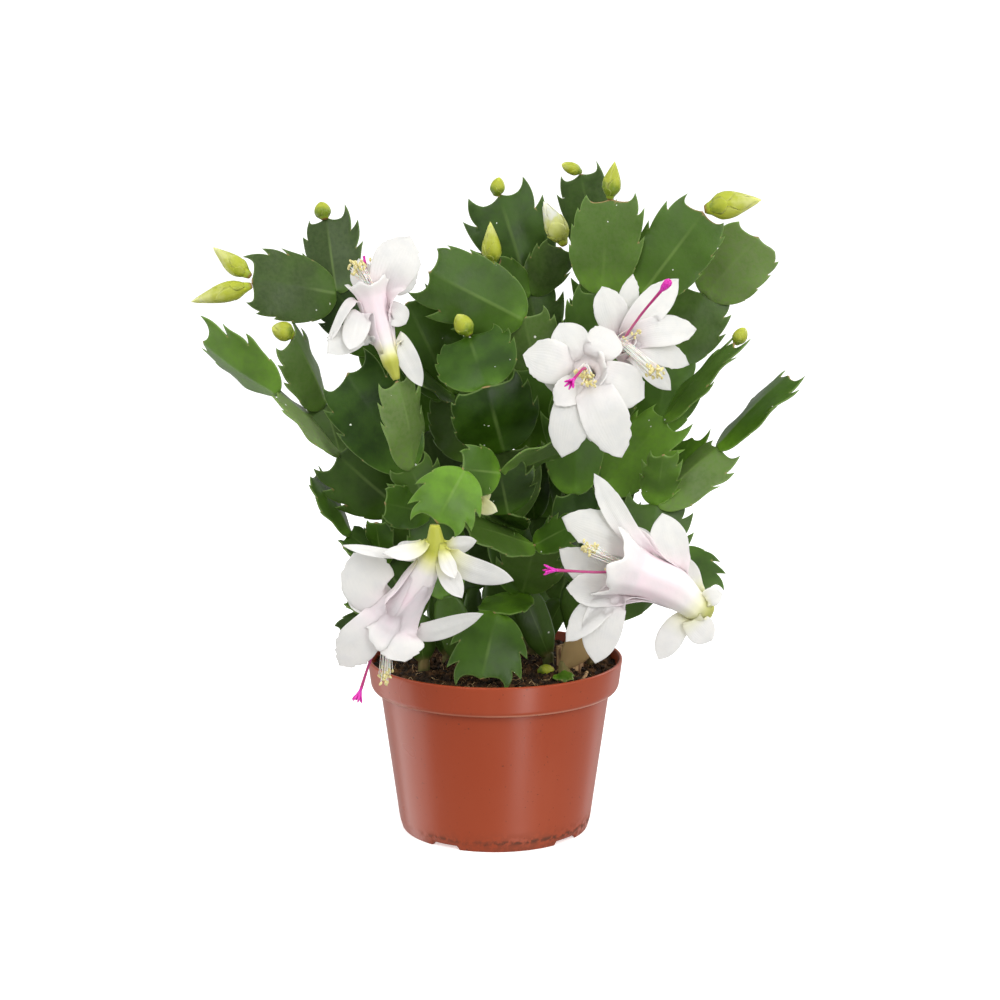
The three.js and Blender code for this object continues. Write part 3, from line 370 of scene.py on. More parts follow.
# A pale line along the edge under the band: a painted highlight, standing in for the table's light reflected
# on that ledge
band_highlight = abs(height - BAND_EDGE).step(0.0002, 0.0011, 0.55, 0) * side.step(0.3, 0.6, 0.4, 1)
body = band_highlight.mix(body, POT_COLOURS["rubbed"])
body = fleck.step(0.735, 0.76, 0, 0.6).mix(body, POT_COLOURS["dirt"])
pot_finish.join(Base_Color=body, Roughness=(cloud + grime * 0.8).step(0.3, 1.2, 0.27, 0.6))
pot_finish.bumps((fine, 0.00002, 0.25), (streak, 0.0001, 0.12), (grime, 0.0002, 0.4))
join_row(pot, pot_finish, "pot", "pot")

# Soil: moist peat that fills the pot to just under its rim. Crumbs and pale root fibres lie on it,
# pressed a little into its surface.
SOIL = {"edge": 77, "crown": 2.5, "relief": 0.8, "crown_radius": 58.5, "radius": 56.75, "rough": 1.1}
SOIL_RINGS = 64
SOIL_SIDES = 150
SOIL_UNDER = [(55.5, 70.9), (51.9, 66.4), (43.6, 7.4), (41.6, 4.8), (1.0, 4.8)]
CRUMBS = {"Density": 170000, "Smallest": 0.0006, "Largest": 0.0021, "Seed": 7}
FIBRES = {"count": 150, "length": (3, 11), "arch": (0.3, 2.2), "steps": 8, "radius": 0.00013, "seed": 11}
PEAT = colours(dark=(36, 24, 14), brown=(94, 66, 40), pale=(160, 124, 82))
FIBRE_COLOURS = colours(brown=(118, 84, 50), pale=(196, 166, 120))
SOCKET_KINDS = {float: "NodeSocketFloat", int: "NodeSocketInt", type(None): "NodeSocketMaterial"}


def soil_top(x, y):
    """The height of the peat in mm: the low relief of the solid, with finer lumps on it."""
    share = np.hypot(x, y) / SOIL["crown_radius"]
    relief = np.sin(x * 0.61 + y * 0.23) * np.cos(y * 0.57 - x * 0.31) + 0.6 * np.sin(x * 0.27 - y * 0.83)
    height = SOIL["edge"] + SOIL["crown"] * (1 - share**2) + SOIL["relief"] * relief
    return float(height) + SOIL["rough"] * noise.fractal((x * 0.35, y * 0.35, 3.1), 1.0, 2.0, 4)


def node_tree(name, **inputs):
    """A Geometry Nodes tree with named inputs and a material, and the sockets that give them."""
    tree = bpy.data.node_groups.new(name, "GeometryNodeTree")
    for way in ("INPUT", "OUTPUT"):
        tree.interface.new_socket("Geometry", in_out=way, socket_type="NodeSocketGeometry")
    for label, value in {**inputs, "Material": None}.items():
        socket = tree.interface.new_socket(label, in_out="INPUT", socket_type=SOCKET_KINDS[type(value)])
        if value is not None:
            socket.default_value = value
    return tree, tree.nodes.new("NodeGroupInput").outputs


def end_tree(tree, given, laid, smoothed=True):
    """Makes what is laid real, with its shading and its material, and gives it out."""
    laid = add_node(tree, "GeometryNodeRealizeInstances", {0: laid})
    laid = add_node(tree, "GeometryNodeSetShadeSmooth", {0: laid, "Shade Smooth": smoothed})
    laid = add_node(tree, "GeometryNodeSetMaterial", {0: laid, "Material": given["Material"]})
    tree.links.new(laid.outputs[0], tree.nodes.new("NodeGroupOutput").inputs[0])


def run_tree(tree, source, finish, **values):
    """Runs a tree on an object and keeps the result as its plain mesh."""
    worker = source.modifiers.new(tree.name, "NODES")
    worker.node_group = tree
    values["Material"] = finish.material
    for item in tree.interface.items_tree:
        if item.in_out == "INPUT" and item.name in values:
            worker[item.identifier] = values[item.name]
    plain_mesh(source, worker)
    return source


def joined(name, pieces):
    """One object made of several, each with its own materials."""
    work = bmesh.new()
    mesh = bpy.data.meshes.new(name)
    for piece in pieces:
        base = len(mesh.materials)
        first = len(work.faces)
        work.from_mesh(piece.data)
        work.faces.ensure_lookup_table()
        for face in work.faces[first:]:
            face.material_index += base
        for material in piece.data.materials:
            mesh.materials.append(material)
        bpy.data.objects.remove(piece)
    work.to_mesh(mesh)
    work.free()
    return link_object(name, mesh)


crumb_tree, given = node_tree("peat_crumbs", Density=1000.0, Smallest=0.0005, Largest=0.002, Seed=1)
spread = {"Mesh": given["Geometry"], "Density": given["Density"], "Seed": given["Seed"]}
spots = add_node(crumb_tree, "GeometryNodeDistributePointsOnFaces", spread)
lump = add_node(crumb_tree, "GeometryNodeMeshIcoSphere", {"Radius": 1.0, "Subdivisions": 2})
grain = add_node(crumb_tree, "ShaderNodeTexNoise", {"Scale": 1.1, "Detail": 1.0}).outputs["Color"]
swing = add_node(crumb_tree, "ShaderNodeVectorMath", {0: grain, 1: (0.5, 0.5, 0.5)}, operation="SUBTRACT")
swing = add_node(crumb_tree, "ShaderNodeVectorMath", {0: swing, "Scale": 2.2}, operation="SCALE")
lump = add_node(crumb_tree, "GeometryNodeSetPosition", {"Geometry": lump, "Offset": swing})
turns = {0: (0, 0, 0), 1: (6.28, 6.28, 6.28), "Seed": given["Seed"]}
spin = add_node(crumb_tree, "FunctionNodeRandomValue", turns, data_type="FLOAT_VECTOR")
pick = add_node(crumb_tree, "FunctionNodeRandomValue", {2: 0.0, 3: 1.0, "Seed": 5}, data_type="FLOAT")
rare = add_node(crumb_tree, "ShaderNodeMath", {0: pick.outputs[1], 1: 3.0}, operation="POWER")
size = add_node(crumb_tree, "ShaderNodeMapRange", {0: rare, 3: given["Smallest"], 4: given["Largest"]})
laying = {"Points": spots, "Instance": lump, "Rotation": spin, "Scale": size}
end_tree(crumb_tree, given, add_node(crumb_tree, "GeometryNodeInstanceOnPoints", laying), False)

# The same tree lays root fibres and stamens: it gives thin lines a round section
strand_tree, given = node_tree("strands", Radius=0.0002, Sides=5)
line = add_node(strand_tree, "GeometryNodeMeshToCurve", {"Mesh": given["Geometry"]})
section = {"Resolution": given["Sides"], "Radius": given["Radius"]}
ring = add_node(strand_tree, "GeometryNodeCurvePrimitiveCircle", section)
tube = {"Curve": line, "Profile Curve": ring, "Fill Caps": True}
end_tree(strand_tree, given, add_node(strand_tree, "GeometryNodeCurveToMesh", tube))


def strands(name, lines, radius, sides, finish):
    """Thin round strands along lines of points in metres."""
    edges = []
    start = 0
    for line in lines:
        edges += [(start + i, start + i + 1) for i in range(len(line) - 1)]
        start += len(line)
    made = new_object(name, np.vstack(lines), edges=edges)
    return run_tree(strand_tree, made, finish, Radius=radius, Sides=sides)


peat_finish = Finish("moist_peat", Roughness=0.85, Specular_IOR_Level=0.25)
clod = peat_finish.speckle(260, 4)
dust = peat_finish.speckle(1900, 3)
peat = clod.step(0.42, 0.68).mix(PEAT["dark"], PEAT["brown"])
peat = dust.step(0.62, 0.74, 0, 0.7).mix(peat, PEAT["pale"])
peat_finish.join(Base_Color=peat, Roughness=clod.step(0.3, 0.6, 0.62, 0.95))
peat_finish.bumps((clod, 0.0008, 0.8), (dust, 0.0003, 0.8))

fibre_finish = Finish("root_fibre", Roughness=0.75)
fibre_tint = fibre_finish.speckle(300, 2).step(0.35, 0.65).mix(FIBRE_COLOURS["brown"], FIBRE_COLOURS["pale"])
fibre_finish.join(Base_Color=fibre_tint)
fibre_finish.bumps((fibre_finish.speckle(2500), 0.0001, 0.5))

rings = np.linspace(0.4, SOIL["radius"], SOIL_RINGS)
points, faces = turned_grid([(r, 0) for r in rings], SOIL_SIDES)
points[:, 2] = [soil_top(x, y) for x, y, _ in points]
first_ring = list(range(SOIL_SIDES))
crumbs = new_object("crumbs", points * MM, faces + [first_ring])
under, under_faces = turned_grid(SOIL_UNDER, SOIL_SIDES, len(points))
last = len(points) - SOIL_SIDES
beside = [(i + 1) % SOIL_SIDES for i in range(SOIL_SIDES)]
faces += [[last + i, last + k, len(points) + k, len(points) + i] for i, k in enumerate(beside)]
points = np.vstack([points, under])
faces += under_faces + [first_ring, list(range(len(points) - SOIL_SIDES, len(points)))]
bed = new_object("bed", points * MM, faces)
outward(bed)
smooth(bed)
bed.data.materials.append(peat_finish.material)
run_tree(crumb_tree, crumbs, peat_finish, **CRUMBS)
draw = np.random.default_rng(FIBRES["seed"])
lines = []
for _ in range(FIBRES["count"]):
    angle = draw.uniform(0, 2 * math.pi)
    out = (SOIL["radius"] - 3) * math.sqrt(draw.uniform(0, 1))
    spot = np.array([math.cos(angle), math.sin(angle)]) * out
    heading = draw.uniform(0, 2 * math.pi)
    bend = draw.normal(0, 0.35)
    length = draw.uniform(*FIBRES["length"])
    arch = draw.uniform(*FIBRES["arch"])
    line = []
    for share in np.linspace(0, 1, FIBRES["steps"]):
        lift = soil_top(*spot) + 0.3 + arch * math.sin(math.pi * share)
        line.append((spot[0] * MM, spot[1] * MM, lift * MM))
        spot = spot + np.array([math.cos(heading), math.sin(heading)]) * length / (FIBRES["steps"] - 1)
        spot *= min(1, (SOIL["radius"] - 1) / np.hypot(*spot))
        heading += bend
    lines.append(line)
fibres = strands("fibres", lines, FIBRES["radius"], 4, fibre_finish)
join_row(joined("peat", [bed, crumbs, fibres]), None, "soil", "soil")

# Shoots: each is one rooted plant of flat fleshy joints, smooth and waxy, with a raised midrib. Their
# margins are hooked into claws with a tuft of brown fuzz in each notch, and the lowest joint is woody.
# A shoot's first row is where it roots, (x, y). A joint's row gives its name, what it grows from, its tip
# (x, y, z), its width, its turn in degrees, its bow in mm and its fold, as in the solids.
SHOOTS = {
    "left": [
        (-22, -4),
        ("l1", "root", (-26, -4, 114), 15, 20, 0, 0),
        ("l2", "l1", (-44, -12, 156), 30, 10, 2, 0),
        ("l3", "l2", (-72, -18, 181), 35, -10, 2, 0.1),
        ("l4", "l3", (-99, -20, 210), 31, 78, 1, 0.1),
        ("l5", "l4", (-132, -14, 231), 31, -58, 1, 0.35),
        ("l6", "l3", (-79, -2, 202), 20, 30, 0, 0.1),
        ("l7", "l6", (-92, -14, 234), 29, 58, 1, 0.35),
    ],
    "left_tall": [
        (-12, 10),
        ("t1", "root", (-10, 12, 112), 15, 60, 0, 0),
        ("t2", "t1", (-19, 15, 148), 30, 20, 1, 0),
        ("t3", "t2", (-33, 16, 187), 34, -15, 2, 0),
        ("t4", "t3", (-51, 12, 228), 34, 10, -1, 0.1),
        ("t5", "t4", (-74, 6, 253), 32, 0, 1, 0.1),
        ("t6", "t5", (-111, -8, 259), 33, 8, 2, 0.1),
        ("t7", "t5", (-78, 18, 286), 27, -15, 0, 0.1),
    ],
    "left_front": [
        (-14, -26),
        ("g1", "root", (-22, -31, 118), 16, -20, 0, 0),
        ("g2", "g1", (-29, -34, 158), 28, 15, 0, 0),
        ("g3", "g2", (-38, -42, 179), 24, 0, 0, 0.1),
        ("g4", "g3", (-43, -51, 218), 24, 40, 2, 0.15),
        ("g5", "g3", (-66, -33, 219), 36, -5, 2, 0.1),
        ("g6", "g2", (-49, -46, 163), 20, 0, 0, 0),
    ],
    "left_low": [
        (-33, -16),
        ("a1", "root", (-36, -20, 106), 14, 0, 0, 0),
        ("a2", "a1", (-52, -17, 131), 26, 10, 1, 0),
        ("a3", "a2", (-68, -14, 143), 19, 40, 0, 0),
        ("a4", "a3", (-82, -10, 171), 25, 72, 0, 0.1),
        ("a5", "a2", (-69, -30, 140), 18, 70, 0, 0),
        ("a6", "a2", (-54, -26, 151), 15, -30, 0, 0.1),
        ("a7", "a1", (-53, -25, 106), 17, 0, 0, 0),
        ("a8", "a7", (-68, -22, 114), 14, 60, 0, 0),
        ("a9", "a7", (-71, -27, 98), 16, 0, 0, 0),
    ],
    "centre": [
        (25, -6),
        ("h1", "root", (12, -11, 116), 16, 10, 0, 0.2),
        ("c2", "h1", (4, -18, 150), 26, 30, 0, 0),
        ("c3", "c2", (4, -30, 185), 34, 0, 0, 0),
        ("c4", "c3", (-4, -48, 216), 39, 0, 2, 0.1),
        ("c5", "c4", (-12, -30, 236), 37, 0, 2, 0.1),
        ("c6", "c2", (-8, -5, 178), 28, 0, 0, 0),
        ("c7", "c6", (-20, -3, 207), 32, 0, 0, 0),
        ("c8", "c7", (-40, -8, 249), 33, 0, 2, 0.1),
        ("c9", "c7", (-41, -26, 223), 26, 70, 0, 0),
        ("h2", "h1", (18, -34, 142), 29, 0, 1, 0.1),
        ("h3", "h2", (-14, -48, 154), 27, 62, 0, 0.1),
        ("h4", "h2", (35, -33, 150), 20, -40, 0, 0),
        ("h5", "h1", (0, -37, 111), 24, 50, 0, 0),
        ("h6", "h5", (-6, -52, 84), 32, 0, 1, 0.1),
        ("f2", "c2", (6, -42, 158), 22, 0, 0, 0),
        ("f3", "f2", (2, -60, 180), 28, 0, 0, 0),
        ("f4", "f3", (31, -50, 188), 28, 76, 0, 0.1),
        ("f5", "f3", (-14, -75, 183), 22, 0, 0, 0),
        ("f6", "f5", (-25, -86, 162), 28, 0, 2, 0.15),
    ],
    "top": [
        (3, 10),
        ("u1", "root", (14, 14, 110), 15, -30, 0, 0),
        ("u2", "u1", (19, 18, 146), 30, -20, 1, 0),
        ("u3", "u2", (24, 16, 182), 32, 15, 1, 0),
        ("u4", "u3", (24, 18, 218), 30, 0, 1, 0),
        ("u5", "u4", (16, 20, 252), 29, 0, 0, 0.1),
        ("u6", "u5", (2, 26, 296), 37, 0, 1, 0.15),
        ("u7", "u5", (30, 10, 273), 20, 10, 0, 0.1),
        ("u8", "u5", (0, 6, 264), 18, 0, 0, 0),
        ("e1", "u2", (15, -5, 181), 18, 0, 0, 0),
        ("e2", "e1", (19, -6, 219), 32, 10, 1, 0),
        ("e3", "e2", (13, -12, 243), 29, 0, 0, 0.1),
        ("e4", "e3", (-29, -24, 264), 35, -5, 2, 0.12),
    ],
    "right_top": [
        (18, 10),
        ("r1", "root", (31, 6, 108), 15, 30, 0, 0),
        ("r2", "r1", (38, 8, 146), 28, 25, 0, 0),
        ("r3", "r2", (43, 6, 184), 32, -10, 1, 0),
        ("r4", "r3", (43, 2, 212), 26, 0, 0, 0),
        ("r5", "r4", (49, -4, 254), 31, 0, 1, 0.1),
        ("r6", "r5", (52, -6, 296), 33, -8, 2, -0.2),
        ("r7", "r3", (50, 29, 224), 26, 65, 0, 0),
        ("r8", "r7", (51, 31, 264), 28, 20, 0, 0),
        ("r9", "r8", (40, 31, 306), 26, -10, 1, 0.1),
        ("r10", "r3", (56, -4, 217), 26, 0, 0, 0),
        ("r11", "r10", (67, -8, 254), 30, 0, 0, 0),
        ("r12", "r11", (94, -12, 290), 33, 0, 2, 0.1),
        ("r13", "r3", (62, -13, 211), 16, 0, 0, 0),
        ("r14", "r3", (50, -14, 202), 20, 0, 0, 0),
    ],
    "right": [
        (46, -2),
        ("s1", "root", (39, -11, 121), 22, 0, 0, 0.1),
        ("s2", "s1", (50, -16, 165), 34, 0, 1, 0.1),
        ("s3", "s2", (78, -18, 197), 31, -30, 1, 0.1),
        ("s4", "s3", (108, -20, 232), 31, -74, 1, 0.1),
        ("s5", "s2", (75, 8, 187), 26, 0, 0, 0),
        ("s6", "s5", (81, 10, 221), 32, 0, 1, 0),
        ("s7", "s6", (98, 12, 252), 32, 0, 1, 0.1),
        ("s8", "s7", (120, 6, 278), 35, 0, 1, 0.1),
        ("d2", "s1", (36, -21, 164), 27, 15, 0, 0),
        ("d3", "d2", (36, -22, 206), 28, 0, 0, 0.1),
    ],
    "right_low": [
        (32, -24),
        ("k1", "root", (50, -30, 109), 15, 0, 0, 0),
        ("k2", "k1", (70, -38, 131), 24, 0, 0, 0),
        ("k3", "k2", (73, -29, 161), 33, 0, 1, 0.1),
        ("k4", "k3", (102, -24, 185), 25, -40, 1, 0.4),
        ("k5", "k4", (133, -20, 217), 30, -70, 1, 0.1),
        ("k6", "k2", (83, -44, 143), 14, 0, 0, 0),
        ("k7", "k6", (93, -57, 124), 24, 0, 1, 0.1),
        ("k8", "k3", (91, -8, 187), 22, -50, 0, 0),
        ("k9", "k3", (75, -41, 184), 17, 0, 0, 0),
    ],
    "back_left": [
        (-12, 28),
        ("b1", "root", (-18, 38, 112), 15, 0, 0, 0),
        ("b2", "b1", (-28, 50, 148), 30, 40, 1, 0.1),
        ("b3", "b2", (-38, 58, 188), 33, -35, 1, 0.1),
        ("b4", "b3", (-44, 72, 222), 32, 50, 1, 0.1),
        ("b5", "b2", (-12, 74, 172), 31, -50, 1, 0.1),
        ("b6", "b5", (-4, 86, 208), 32, 30, 1, 0.1),
        ("b7", "b1", (-36, 62, 112), 28, 0, -2, 0.1),
        ("b8", "b7", (-46, 92, 98), 31, 20, -2, 0.1),
    ],
    "back_right": [
        (14, 30),
        ("q1", "root", (24, 40, 112), 15, 0, 0, 0),
        ("q2", "q1", (34, 50, 150), 30, -40, 1, 0.1),
        ("q3", "q2", (44, 56, 190), 32, 45, 1, 0.1),
        ("q4", "q3", (54, 66, 222), 32, -55, 1, 0.1),
        ("q5", "q2", (58, 68, 166), 30, 50, 1, 0.1),
        ("q6", "q5", (74, 82, 192), 31, -30, 1, 0.1),
        ("q7", "q1", (44, 64, 110), 28, 0, -2, 0.1),
        ("q8", "q7", (62, 86, 98), 31, -20, -2, 0.1),
    ],
    "back": [
        (2, 24),
        ("m1", "root", (1, 30, 114), 15, 0, 0, 0),
        ("m2", "m1", (4, 38, 152), 30, 60, 1, 0),
        ("m3", "m2", (-4, 42, 192), 32, -50, 1, 0),
        ("m4", "m3", (-14, 46, 230), 31, 40, 1, 0.1),
        ("m5", "m3", (12, 50, 226), 30, -40, 1, 0.1),
        ("m6", "m1", (4, 64, 126), 28, 0, 1, 0.1),
        ("m7", "m6", (12, 92, 140), 31, 0, 1, 0.1),
    ],
}
# Joints with few claws
PLAIN_JOINTS = (
    "l2 l6 t2 t3 g2 g6 a3 a5 a6 a8 a9 c2 c3 c6 c7 f2 h5 u2 u3 u4 u8 e1 r2 r3 r4 r7 r10 r13 "
    "r14 s5 d2 k2 k6 b2 b3 b4 b5 b6 b7 b8 q2 q3 q4 q5 q6 q7 q8 m2 m3 m4 m5 m6 m7 "
).split()
# Margins of one half: each row is a curve's control point and end (share along, share across), how many
# steps it takes, and whether an areole sits at its end
MARGINS = {
    "hooked": [
        ((0.03, 0.62), (0.27, 0.88), 8, 0),
        ((0.268, 0.865), (0.275, 0.845), 2, 1),
        ((0.4, 1.04), (0.61, 1.12), 9, 0),
        ((0.56, 0.98), (0.535, 0.87), 6, 1),
        ((0.7, 1.06), (0.89, 1.07), 8, 0),
        ((0.815, 0.9), (0.79, 0.77), 6, 1),
        ((0.95, 0.92), (1.11, 0.7), 9, 0),
        ((1.0, 0.66), (0.962, 0.48), 6, 0),
        ((0.94, 0.24), (1.0, 0.04), 6, 1),
    ],
    "clawed": [
        ((0.03, 0.64), (0.32, 0.92), 9, 0),
        ((0.315, 0.905), (0.317, 0.895), 2, 1),
        ((0.45, 1.03), (0.655, 1.05), 9, 0),
        ((0.6, 0.96), (0.585, 0.905), 5, 1),
        ((0.72, 1.02), (0.895, 0.98), 8, 0),
        ((0.835, 0.88), (0.825, 0.81), 5, 1),
        ((0.93, 0.87), (1.06, 0.68), 8, 0),
        ((0.985, 0.66), (0.972, 0.52), 5, 0),
        ((0.96, 0.26), (1.0, 0.04), 6, 1),
    ],
    "fine": [
        ((0.03, 0.66), (0.29, 0.89), 9, 0),
        ((0.287, 0.875), (0.29, 0.868), 2, 1),
        ((0.38, 0.99), (0.525, 1.0), 7, 0),
        ((0.505, 0.965), (0.507, 0.948), 3, 1),
        ((0.62, 1.0), (0.74, 0.97), 7, 0),
        ((0.71, 0.92), (0.712, 0.9), 3, 1),
        ((0.82, 0.94), (0.925, 0.85), 6, 0),
        ((0.89, 0.81), (0.887, 0.785), 3, 1),
        ((0.96, 0.77), (1.03, 0.62), 7, 0),
        ((0.985, 0.58), (0.975, 0.45), 4, 0),
        ((0.965, 0.22), (1.0, 0.04), 6, 1),
    ],
    "plain": [
        ((0.02, 0.66), (0.45, 0.98), 11, 0),
        ((0.44, 0.96), (0.443, 0.95), 2, 1),
        ((0.63, 1.03), (0.82, 0.95), 9, 0),
        ((0.795, 0.89), (0.79, 0.875), 3, 1),
        ((0.92, 0.84), (1.02, 0.6), 8, 0),
        ((0.985, 0.54), (0.975, 0.42), 4, 0),
        ((0.965, 0.2), (1.0, 0.04), 5, 1),
    ],
}
MARGIN_START = (0, 0.13)
# The margins of a joint's left and right halves, as seen from its front. Most are drawn from these pairs,
# and the rest follow the photograph
TOOTHED_HALVES = [
    ("hooked", "fine"), ("fine", "clawed"), ("clawed", "hooked"), ("hooked", "hooked"), ("clawed", "clawed"),
]
PLAIN_HALVES = [("plain", "plain"), ("fine", "plain"), ("plain", "fine")]
JOINT_HALVES = {
    "r6": ("fine", "clawed"), "r12": ("clawed", "fine"), "r11": ("plain", "fine"), "t6": ("fine", "clawed"),
    "t7": ("clawed", "hooked"), "f6": ("hooked", "hooked"), "h6": ("hooked", "hooked"),
    "l6": ("hooked", "hooked"), "l7": ("clawed", "hooked"), "g4": ("clawed", "hooked"),
    "c8": ("fine", "clawed"), "e3": ("hooked", "clawed"), "s8": ("plain", "fine"),
}
# Outlines as shares of the half width along a joint: a flat one's without its claws, and a woody one's
ENVELOPE = [(0, 0.13), (0.1, 0.5), (0.25, 0.8), (0.5, 1.0), (0.8, 1.0), (1.0, 0.8), (1.1, 0.7)]
OLD_MARGIN = [(0, 0.3), (0.08, 0.5), (0.25, 0.85), (0.5, 0.98), (0.75, 1), (0.9, 0.8), (1, 0.45)]
THICKNESS = {"margin": 0.45, "cushion": 0.55, "midrib": 0.3, "midrib_width": 1.6, "neck": 0.8, "woody": 2.5}
# Where a joint's face has its points, in mm: rows inside the margin, a few beside the midrib, and a
# lattice between them
INSETS = (0.14, 0.42, 0.95)
RIB_ROWS = (-1.0, 0, 1.0)
RIB_STEP = 1.7
LATTICE = 2.3
MARGIN_ROUND = 0.95
MARGIN_EDGE = 0.13
# How far a joint starts inside the one that bears it, in mm, how much further one half reaches than the
# other, and where a face that isn't turned looks
SINK = 1.8
SKEW = 0.035
LEAN_FRONT = np.array([0, -1, 0.22])
# The round foot in the peat: its heights, its radii at the bottom, near the top and at the top, and where
# the lowest joint starts, all in mm
ROOT = {"bottom": 68, "top": 86, "radii": [3.1, 2.5, 1.6], "taper": 1.5, "above": 84.5, "into": -5 / 3}
# Joints that are greyer, darker or brighter than the rest: share of grey, and tone from dark 0 to bright 1.
# Both are partly the joint's own colour and partly painted light: a brighter tone paints light on joints
# that lie in shade, and the grey is partly waxy bloom and partly a painted sheen of glancing reflections
JOINT_TONES_AND_PAINTED_LIGHT = {
    "l3": (0.15, 0.3), "l4": (1.0, 0.9), "l5": (0.25, 0.75), "l6": (0.3, 0.35), "l7": (0.4, 0.5),
    "t4": (0.05, 0.4), "t5": (0.05, 0.1), "t6": (0.3, 0.12), "t7": (0.25, 0.0), "g4": (0.8, 0.65),
    "g5": (0.0, 0.2), "f6": (0.1, 0.8), "h6": (0.05, 0.35), "h2": (0.35, 0.5), "h3": (0.3, 0.5),
    "c4": (0.0, 0.2), "c5": (0.0, 0.3), "c8": (0.1, 0.35), "e4": (0.15, 0.35), "u6": (0.1, 0.2),
    "u5": (0.2, 0.2), "u7": (0.35, 0.2), "e3": (0.45, 0.4), "r6": (0.4, 0.55), "r9": (0.2, 0.15),
    "r12": (0.2, 0.45), "r11": (0.4, 0.5), "s8": (0.9, 0.75), "s7": (0.3, 0.3), "s3": (0.2, 0.9),
    "s4": (0.2, 0.5), "s6": (0.1, 0.6), "k3": (0.2, 0.35), "k4": (0.65, 0.65), "k5": (0.05, 0.45),
    "k7": (0.1, 0.3), "d3": (0.1, 0.4), "h5": (0.1, 0.7), "f4": (0.3, 0.4), "k8": (0.1, 0.7),
    "k9": (0.2, 0.7),
}
# How corky a lowest joint is above its foot, and joints with a corky line across their blunt end
OLD_FEET = {"k1": 0.85}
SCARS = {"r6": 1.0, "u8": 0.9, "r12": 0.8, "s4": 0.8, "k5": 0.7}
PLAIN_SCAR = 0.25
AREOLE = {"cork": 0.62, "radius": 0.5}
ACROSS = (1, 0, 0)
AWAY = (0, 1, 0)


def unit(vector):
    return vector / np.linalg.norm(vector)


def spun(vector, axis, degrees):
    """A vector turned about an axis of length one."""
    angle = math.radians(degrees)
    flat = vector * math.cos(angle) + np.cross(axis, vector) * math.sin(angle)
    return flat + axis * np.dot(axis, vector) * (1 - math.cos(angle))


def blade_directions(base, tip, turn):
    """Along a flat piece, out of its face and across it, as the solids have them."""
    along = unit(tip - base)
    face = spun(unit(LEAN_FRONT - along * np.dot(LEAN_FRONT, along)), along, turn)
    return along, face, np.cross(along, face)


def circle(sides):
    return np.linspace(0, 2 * math.pi, sides, endpoint=False)


def rings_round(centres, across, over, angles, reach, reach_over=None):
    """Rings of points round a row of centres, each by its reach in two directions."""
    reach_over = reach if reach_over is None else reach_over
    across, over = (np.atleast_2d(way)[:, None] for way in (across, over))
    rings = centres[:, None] + (reach * np.cos(angles))[..., None] * across
    return rings + (reach_over * np.sin(angles))[..., None] * over


def new_piece():
    return {"points": [], "faces": [], "place": [], "finish": [], "count": 0}


def add_points(piece, points, place, finish):
    """Adds points with their attributes, three values each, and gives the first one's number."""
    first = piece["count"]
    shape = points.shape[:-1]
    piece["points"].append(points.reshape(-1, 3))
    for label, values in (("place", place), ("finish", finish)):
        spread = [np.broadcast_to(value, shape) for value in values]
        piece[label].append(np.stack(spread, axis=-1).reshape(-1, 3))
    piece["count"] += len(piece["points"][-1])
    return first


def add_loft(piece, rings, place=(0, 0, 0), finish=(0, 0, 0)):
    """Adds a closed tube of rings."""
    rows, around = rings.shape[:2]
    first = add_points(piece, rings, place, finish)
    last = first + (rows - 1) * around
    piece["faces"] += grid_quads(rows, around, first)
    piece["faces"] += [list(range(first, first + around))[::-1], list(range(last, last + around))]


def add_sheet(piece, front, back, faces, place, finish):
    """Adds a thin closed sheet: its front, its back, and the rim between them."""
    first = add_points(piece, front, place, finish)
    behind = add_points(piece, back, place, finish)
    piece["faces"] += [[first + i for i in face] for face in faces]
    piece["faces"] += [[behind + i for i in face[::-1]] for face in faces]
    sides = {(face[i - 1], face[i]) for face in faces for i in range(len(face))}
    rim = sorted(side for side in sides if side[::-1] not in sides)
    piece["faces"] += [[first + a, behind + a, behind + b, first + b] for a, b in rim]


def finished(piece, name, finish, slot, node):
    """Makes the piece's object, with its attributes, and with its faces turned outwards."""
    made = new_object(name, np.vstack(piece["points"]) * MM, piece["faces"])
    for label in ("place", "finish"):
        layer = made.data.attributes.new(label, "FLOAT_VECTOR", "POINT")
        layer.data.foreach_set("vector", np.vstack(piece[label]).astype(np.float32).ravel())
    outward(made, merge=False)
    smooth(made)
    join_row(made, finish, slot, node)


def margin(kind, draw):
    """One half of a joint's outline, base first, with every claw a little different."""
    spots = [np.array(MARGIN_START)]
    marks = []
    wander = np.zeros(2)
    for control, end, steps, areole in MARGINS[kind]:
        wander = wander * 0.8 if areole else draw.normal(0, 1, 2) * (0.014, 0.02)
        end = np.array(end) + wander
        control = np.array(control) + wander * 0.7
        start = spots[-1]
        for share in np.linspace(0, 1, steps + 1)[1:]:
            spots.append((1 - share) ** 2 * start + 2 * share * (1 - share) * control + share**2 * end)
        if areole:
            marks.append(spots[-1])
    return np.array(spots), np.array(marks)


def soft_abs(value, ease=0.06):
    return np.sqrt(value**2 + ease**2) - ease


def to_margin(points, outline):
    """How far inside an outline each point is; below zero outside it."""
    way = np.roll(outline, -1, axis=0) - outline
    gap = points[:, None] - outline
    share = np.clip((gap * way).sum(-1) / (way**2).sum(-1), 0, 1)
    near = np.linalg.norm(gap - share[..., None] * way, axis=-1).min(axis=1)
    above = (gap[..., 1] < 0) != (gap[..., 1] < way[:, 1])
    reach = outline[:, 0] + gap[..., 1] * way[:, 0] / np.where(way[:, 1] == 0, 1e-9, way[:, 1])
    inside = (above & (points[:, :1] < reach)).sum(axis=1) % 2 == 1
    return np.where(inside, near, -near)


